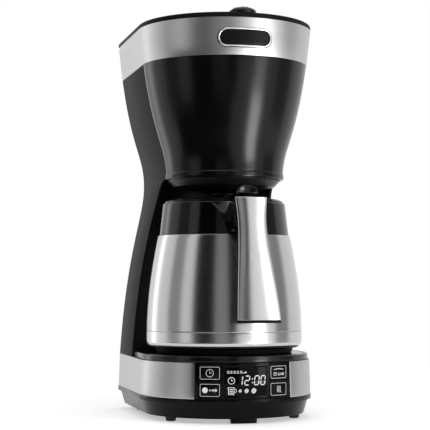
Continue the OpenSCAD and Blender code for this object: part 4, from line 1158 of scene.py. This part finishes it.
class COFFEE_OT_panel(bpy.types.Operator):
    """Glossy control panel with its keys, window and light marks"""
    bl_idname = "coffee.panel"
    bl_label = "Control panel"

    def execute(self, context):
        s = sizes()
        glow = glowing_mark()
        keys = [(name, side * KEY_A, KEY_Z + row * KEY_PITCH / 2) for name, side, row in (
            ("clock", -1, 1), ("aroma", -1, -1), ("power", 1, 1), ("descale", 1, -1))]
        plate = arc_block("panel_plate", slab(PANEL_IN, PANEL_R, s["base_low_z"], s["base_top_z"] - SEAT),
                          0, PANEL_HALF_A, 0, 66)
        for name, a, z in keys:
            self.take(plate, a, KEY_HALF_A + 0.17, z, KEY_HALF_H + 0.25)
        self.take(plate, 0, WINDOW_HALF_A + 0.08, KEY_Z, WINDOW_HALF_H + 0.1)
        bevel(plate, 0.2, 2)
        finish(plate, gloss_black("panel_gloss", rough=0.1, specular=0.1), "root", "black_gloss",
               "control_panel")
        window = arc_block("window", slab(PANEL_IN + 0.1, PANEL_R - 0.02, KEY_Z - WINDOW_HALF_H,
                                          KEY_Z + WINDOW_HALF_H), 0, WINDOW_HALF_A, 0.15, 30)
        finish(window, gloss_black("window_glass", (0.001, 0.001, 0.0012, 1), 0.04, 0.03, 0.1), "root",
               "display", "display_window")
        cap_black = gloss_black("key_gloss", (0.004, 0.004, 0.0045, 1), 0.16, 0.06, 0.1)
        for name, a, z in keys:
            body = name + "_button"
            cap = arc_block(name + "_cap", slab(PANEL_IN - 0.4, PANEL_R, z - KEY_HALF_H, z + KEY_HALF_H),
                            a, KEY_HALF_A, 0.3, 12)
            finish(cap, cap_black, body, "black_gloss", name + "_key")
            u = math.radians(a) * PANEL_R
            outline = rounded(u - 9.3, z - 5.7, u + 9.3, z + 5.7)
            marks(name + "_mark", outline + getattr(self, name)(u, z), body, glow)
        marks("display_marks", self.display(), "root", glow)
        return {"FINISHED"}

    def take(self, plate, middle, half, z, half_h):
        """Takes an opening out of the panel"""
        carve(plate, arc_block("tool", slab(80, 90, z - half_h, z + half_h), middle, half, 0, 20))

    def clock(self, u, z, r=3.5, w=0.42):
        """A clock's face with two hands"""
        hands = stroke([(u, z + r * 0.62), (u, z), (u + r * 0.5, z)], w)
        return stroke(circle(u, z, r), w, closed=True) + hands

    def aroma(self, u, z):
        """A disc and three beans that grow"""
        faces = disc(u - 4.6, z, 2.7)
        for i, r in enumerate((0.75, 1.0, 1.3)):
            faces += self.bean(u + 0.2 + i * 2.7, z, r)
        return faces

    def bean(self, x, z, r, tilt=50):
        """A bean is two half ovals with a slit between them"""
        c, s = math.cos(math.radians(tilt)), math.sin(math.radians(tilt))
        faces = []
        for side in (-1, 1):
            half = []
            for i in range(13):
                a = math.pi * i / 12
                x0, z0 = r * 1.15 * math.cos(a), side * (r * 0.78 * math.sin(a) + r * 0.14)
                half.append(Vector((x + x0 * c - z0 * s, z + x0 * s + z0 * c)))
            faces.append(tuple(half))
        return faces

    def power(self, u, z):
        """A cup under a wave, with three bars that grow"""
        wave = [(u - 5.6 + i * 1.4, z + 2.9 + 0.35 * math.cos(i * 0.75 - 3.0)) for i in range(9)]
        faces = stroke(wave, 0.6)
        cup = [(u - 6.0, z - 0.6), (u - 5.7, z - 2.9), (u - 3.2, z - 2.9), (u - 2.9, z - 0.6)]
        faces += stroke(cup, 0.45, closed=True)
        faces += stroke(circle(u + 0.4, z - 1.7, 1.25, 20, 120, 300), 0.45)
        for i in range(3):
            faces += bar(u + 2.6 + i * 1.4, z - 2.9, u + 3.3 + i * 1.4, z - 0.9 + 0.3 * i)
        return faces

    def descale(self, u, z):
        """Three upright waves"""
        faces = []
        for i in (-1, 0, 1):
            wave = [(u + i * 1.7 + 0.42 * math.sin(k * 1.1), z - 3.1 + k * 0.62) for k in range(11)]
            faces += stroke(wave, 0.5)
        return faces

    def digit(self, x, z, lit, w=4.3, h=8.4, t=0.95):
        """Seven bars, lit in the order top, right top, right low, low, left low, left top, middle"""
        m, lean = h / 2, 0.1
        g = 0.22
        runs = (((0, h), (w, h)), ((w, h), (w, m)), ((w, m), (w, 0)), ((0, 0), (w, 0)), ((0, m), (0, 0)),
                ((0, h), (0, m)), ((0, m), (w, m)))
        faces = []
        for i, ((x0, y0), (x1, y1)) in enumerate(runs):
            if str(i) not in lit:
                continue
            d = (Vector((x1, y1)) - Vector((x0, y0))).normalized()
            n = Vector((-d.y, d.x))
            a, b = Vector((x0, y0)) + d * (g + t / 2), Vector((x1, y1)) - d * (g + t / 2)
            six = (a - d * t / 2, a + n * t / 2, b + n * t / 2, b + d * t / 2, b - n * t / 2, a - n * t / 2)
            faces.append(tuple(Vector((x + p.x + lean * p.y, z + p.y)) for p in six))
        return faces

    def display(self):
        """Rows of bars, the clock, the time, a jug and three beans"""
        faces = []
        for i, w in enumerate((2.6, 2.2, 2.4, 2.2, 2.6)):
            x = -18.4 + i * 3.1
            faces += bar(x, 48.0, x + w, 48.7) + bar(x, 49.5, x + w * 0.75, 50.2)
        faces += bar(-2.6, 48.0, -1.5, 49.0) + bar(-1.0, 48.0, 0.1, 49.6)
        faces += self.clock(-14.3, 41.1, 3.1, 0.6)
        z = 37.0
        faces += self.digit(-8.6, z, "12")
        faces += self.digit(-1.7, z, "01643")
        for dz in (2.2, 5.6):
            faces += disc(6.0, z + dz, 0.6)
        faces += self.digit(7.8, z, "012345")
        faces += self.digit(14.2, z, "012345")
        faces += stroke([(-17.4, 34.6), (-16.9, 28.2), (-12.2, 28.2), (-11.7, 34.6)], 0.6, closed=True)
        for dz in (0, 1.6, 3.2):
            faces += bar(-16.2, 29.2 + dz, -12.9, 30.0 + dz)
        faces += stroke(circle(-11.4, 31.6, 1.8, 14, -80, 160), 0.55)
        for x, r in ((-6.0, 1.35), (0.2, 1.9), (7.4, 2.3)):
            faces += self.bean(x, 31.4, r)
        return faces


# ---------- Carafe ----------
def rounded_ring(half, z0, z1, r, place, n=5, steps=1):
    """A rounded rectangle's points, each put in place by a rule"""
    ring = corners(-half, z0, half, z1, r, n)
    full = []
    for i, (x, z) in enumerate(ring):
        nx, nz = ring[(i + 1) % len(ring)]
        k = steps if abs(nz - z) > 2 * r else 1
        full += [place(x + (nx - x) * j / k, z + (nz - z) * j / k) for j in range(k)]
    return full


class COFFEE_OT_carafe(bpy.types.Operator):
    """Steel flask with its cup, black collar and foot"""
    bl_idname = "coffee.carafe"
    bl_label = "Carafe"

    def execute(self, context):
        s = sizes()
        self.flask(s)
        self.cup(s["flask_r"], s["deck_z"] + 0.3, s["cup_z"])
        self.collar(s)
        self.lever(s)
        return {"FINISHED"}

    def flask(self, s):
        """Steel flask from the cup to the collar"""
        points = flask_points(s)
        z0, z1 = s["cup_z"] + 0.25, s["collar_z"] - 0.2
        outer, inner = span(points, z0, z1), span(points, z0, z1, 0.8)
        flask = turned("flask", outer + inner[::-1], 0.2)
        finish(flask, brushed_steel("flask_steel", rough=0.17), "carafe", "brushed_steel", "flask_outer")

    def cup(self, r, foot_z, seam):
        """Steel cup round the flask's lower end, and the foot that it stands on"""
        low, bend, skin = foot_z + 5, 7, 0.8

        def corner(size):
            """The cup's rounded lower edge, at a distance from the middle of the bend"""
            return circle(r - bend, low + bend, size, 15, -90, 90)

        cup = turned("flask_cup", [(0, low)] + corner(bend) + [(r, seam), (r - skin, seam)]
                     + corner(bend - skin)[::-1] + [(0, low + skin)], 0.15)
        finish(cup, brushed_steel("cup_steel", rough=0.2, base=(0.55, 0.55, 0.555, 1)), "carafe",
               "brushed_steel", "flask_cup")
        foot = turned("carafe_foot", [(0, foot_z), (r - 10.6, foot_z), (r - 10, foot_z + 0.6),
                                      (r - 8.5, low - 0.1), (0, low - 0.1)])
        finish(foot, satin_black("foot_satin", rough=0.45), "carafe", "black_satin", "carafe_foot")

    def collar(self, s):
        """Collar with its pouring lip and the handle's arm"""
        seam, top = s["collar_z"], s["collar_top_z"]
        ring = turned("collar_ring", [
            (65, seam - 8), (65, seam + 0.6), (64.9, seam + 1.2), (61.5, top - 2.0), (61.2, top - 0.9),
            (60.4, top - 0.1), (59.6, top), (56.0, top), (54.8, top - 0.6), (54.2, top - 1.6),
            (MOUTH_R + 0.6, top - 4), (MOUTH_R, top - 4.6), (MOUTH_R, seam + 14), (MOUTH_R + 2.2, seam + 14),
            (MOUTH_R + 2.2, top - 6), (57.5, top - 3.8), (62.6, seam + 0.8), (62.6, seam - 8)], 0)
        lip = arc_block("lip", [(57, top - 14), (58.6, top - 14), (64.0, top - 0.6), (64.0, top), (57, top)],
                        180, 12, 0.5)
        lip = cut(lip, (-9, AXIS_Y + 40, top - 6), (9, AXIS_Y + 63, top + 4))
        collar = join("collar", [ring, lip, self.arm(s)])
        finish(collar, gloss_black("collar_gloss", rough=0.1, spread=0.06, specular=0.3), "carafe",
               "black_gloss", "carafe_collar", angle=38)

    def lever(self, s):
        """Thumb lever: a slim bar in the lid's groove that ends in an arched pad"""
        top, low = s["collar_top_z"] + 4.9, s["collar_top_z"] + 1.8
        pin_y, pin_z = AXIS_Y - 50, s["collar_top_z"] + 3.6
        # heights along the bar, at distances from the axis
        tops = table([(top, 19), (top, 44), (pin_z + 2.3, 50), (top + 2, 65), (top + 3, 82), (top + 3, 85)])
        lows = table([(low, 19), (low, 52), (low + 1.6, 61), (low + 3, 82), (low + 3, 85)])
        rod = loft("lever_bar", [
            rounded_ring(6.4, lows(y), tops(y), 0.9, lambda x, z, y=y: (x, AXIS_Y - y, z))
            for y in range(19, 86, 2)])
        rod = cut(rod, (-3.4, AXIS_Y - 28.4, low - 1), (3.4, AXIS_Y - 18, top + 1))
        rod = cut(rod, (-20, pin_y - 1.3, pin_z - 1.3), (20, pin_y + 1.3, pin_z + 1.3))
        rings = []
        # distance from the axis, half width, top and bottom over the bar's underside
        for y, half, high, under in (
                (76, 6.4, 4.2, 2.0), (79, 7.3, 5.2, 2.3), (82, 8.4, 7.0, 2.6), (85, 9.4, 9.2, 2.8),
                (87.5, 9.9, 10.8, 2.9), (89.3, 10, 11.5, 3.0), (90.3, 9.85, 11.35, 3.2),
                (90.8, 9.5, 11.0, 3.5), (91, 9.0, 10.5, 4.0), (90.65, 8.5, 10.0, 4.5)):
            rings.append([(math.copysign(half * abs(math.cos(a)) ** 0.8, math.cos(a)), AXIS_Y - y,
                           low + under + (high - under) * math.sin(a) ** 0.8)
                          for a in (math.pi * i / 32 for i in range(33))])
        lever = join("thumb_lever", [rod, loft("lever_pad", rings)])
        finish(lever, gloss_black("lever_gloss", rough=0.14, spread=0.06, specular=0.3), "lever",
               "black_gloss", "thumb_lever", angle=45)

    def arm(self, s):
        """The arm that flares out of the collar and carries the handle"""
        low, high = s["collar_z"] + 2, s["collar_top_z"] - 0.6
        curve = [(29, 55), (20, 64), (13.5, 70), (13, 88)]
        rings = []
        for i in range(17):
            half, y = bezier(curve, i / 16)

            def place(x, z, half=half, y=y):
                """Narrower towards the bottom, so that the flare leaves the collar on a curve"""
                drop = (high - z) / (high - low)
                return (x * (1 - (1 - 12.5 / half) * drop ** 0.8), AXIS_Y - y, z)
            rings.append(rounded_ring(half, low, high, 2.4, place, 5, 10))
        return loft("arm", rings)


class COFFEE_OT_handle(bpy.types.Operator):
    """Steel skin and black core of the handle"""
    bl_idname = "coffee.handle"
    bl_label = "Handle"

    def execute(self, context):
        low, high = 96.5, 214.3
        reach, top_reach = 136.0, 107.0     # from the axis to the handle's front, below and above
        h = high - low
        grip = high - 0.2 * h
        side = [(reach, low), (reach - 0.34 * (reach - top_reach), low + 0.4 * h),
                (top_reach + 3, high - 0.3 * h), (top_reach, high)]
        low_w = [(20.5, low), (18.8, low + 0.3 * h), (13.5, grip - 0.22 * h), (13.5, grip)]
        top_w = [(13.5, grip), (13.5, grip + 5), (14.7, high - 6), (15.4, high)]
        out = table([bezier(side, i / 40) for i in range(41)])
        half = table([bezier(low_w, i / 30) for i in range(31)]
                     + [bezier(top_w, i / 10) for i in range(1, 11)])

        def strip(z, w, front, back, crown=2.6, n=12):
            """Points across the handle at a height, both on its crowned front and on its back"""
            across = [w * (1 - 2 * i / n) for i in range(n + 1)]
            return [(sign * x, AXIS_Y - (place - crown * (abs(x) / w) ** 2.4), z)
                    for sign, place in ((1, front), (-1, back)) for x in across]

        heel, steps = low + 2.6, 44
        zs = [heel + (high - 1 - heel) * i / steps for i in range(steps + 1)]
        cover = loft("handle_skin", [strip(z, half(z), out(z), out(z) - 1.6) for z in zs])
        bevel(cover, 0.45, 3, 40)
        finish(cover, brushed_steel("handle_steel", (1500, 9, 9), 0.2, 0.05, (0.6, 0.6, 0.605, 1), 0.3),
               "carafe", "brushed_steel", "handle_cover", angle=50)
        core = loft("handle_core", [strip(z, half(z) - 0.6, out(z) - 1.65, out(z) - 10) for z in zs])
        bevel(core, 0.8, 3, 40)
        base = loft("heel", [strip(z, half(z), out(z) - 0.3, out(z) - 10)
                             for z in (low, low + 0.8, heel - SEAT)])
        bevel(base, 0.5, 3, 40)
        block = loft("block", [rounded_ring(13, 186.05, 211.9, 1.5, lambda x, z, y=y: (x, AXIS_Y - y, z))
                               for y in (88.05, 95, 103)])
        body = join("handle_body", [core, base, block])
        finish(body, satin_black("handle_satin", (0.008, 0.008, 0.008, 1), rough=0.24, depth=0.1), "carafe",
               "black_satin", "handle_core", angle=40)
        return {"FINISHED"}


# ---------- Solids that show as they are ----------
class COFFEE_OT_solids(bpy.types.Operator):
    """Finishes for the solids whose shape is right"""
    bl_idname = "coffee.solids"
    bl_label = "Inner parts"

    def execute(self, context):
        black = satin_black("inner_satin", (0.008, 0.008, 0.0085, 1), rough=0.33, specular=0.15)
        gloss = gloss_black("carafe_lid_gloss", (0.005, 0.005, 0.005, 1), 0.14, 0.08)
        grey = moulded("grey_plastic", paint("plastic"))
        white = moulded("silicone", (0.72, 0.71, 0.68), 0.5)
        pins = bright_metal("pin_steel", (0.62, 0.62, 0.63, 1), 0.2)
        cast = brushed_steel("cast_aluminium", (40, 40, 40), 0.42, 0.1, (0.5, 0.5, 0.51, 1), 0.0)
        looks = {
            black: "base_frame column_front brew_floor top_frame board_clips cord_inlet",
            gloss: "carafe_lid",
            grey: "shower_channel riser_nozzle filter_basket drip_valve pour_valve key_switches check_valve",
            white: "cold_hose riser_hose lid_seal",
            pins: "base_screws lid_pin drip_spring pour_spring lever_pin handle_screws thermostats",
            cast: "heater heater_tube heater_posts",
            brushed_steel("inner_steel", rough=0.28): "flask_inner",
            clear_plastic(): "water_tank level_window",
            fine_filter(): "permanent_filter",
            circuit(): "control_board",
            moulded("display_back", (0.02, 0.03, 0.04), 0.3): "display_module",
        }
        for look, names in looks.items():
            for name in names.split():
                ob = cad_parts[name]
                ob.data.materials.clear()
                ob.data.materials.append(look)
        for name, joint, travel in (("drip_spring", "drip_lift", 4.0), ("pour_spring", "plug_lift", 2.5)):
            self.spring(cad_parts[name], joint, travel)
        return {"FINISHED"}

    def spring(self, ob, joint, travel):
        """Gives a spring a mesh of its own"""
        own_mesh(ob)


class COFFEE_PT_panel(bpy.types.Panel):
    """Lists the pieces in the sidebar"""
    bl_label = "Drip coffee maker"
    bl_idname = "COFFEE_PT_panel"
    bl_space_type = "VIEW_3D"
    bl_region_type = "UI"
    bl_category = "Coffee"

    def draw(self, context):
        for group in (context.scene.coffee_sizes, context.scene.coffee_colours):
            box = self.layout.box()
            for key in group.__annotations__:
                box.prop(group, key)
        for operator in OPERATORS:
            self.layout.operator(operator.bl_idname)


OPERATORS = (COFFEE_OT_stage, COFFEE_OT_brew_head, COFFEE_OT_housing, COFFEE_OT_top_band, COFFEE_OT_lid,
             COFFEE_OT_base, COFFEE_OT_panel, COFFEE_OT_carafe, COFFEE_OT_handle, COFFEE_OT_solids)
CLASSES = (CoffeeSizes, CoffeeColours) + OPERATORS + (COFFEE_PT_panel,)


def register():
    for cls in CLASSES:
        bpy.utils.register_class(cls)
    bpy.types.Scene.coffee_sizes = PointerProperty(type=CoffeeSizes)
    bpy.types.Scene.coffee_colours = PointerProperty(type=CoffeeColours)


def unregister():
    del bpy.types.Scene.coffee_colours
    del bpy.types.Scene.coffee_sizes
    for cls in reversed(CLASSES):
        bpy.utils.unregister_class(cls)


def main():
    register()
    for operator in OPERATORS:
        getattr(bpy.ops.coffee, operator.bl_idname.split(".")[1])()
    deselect()


if __name__ == "__main__":
    main()
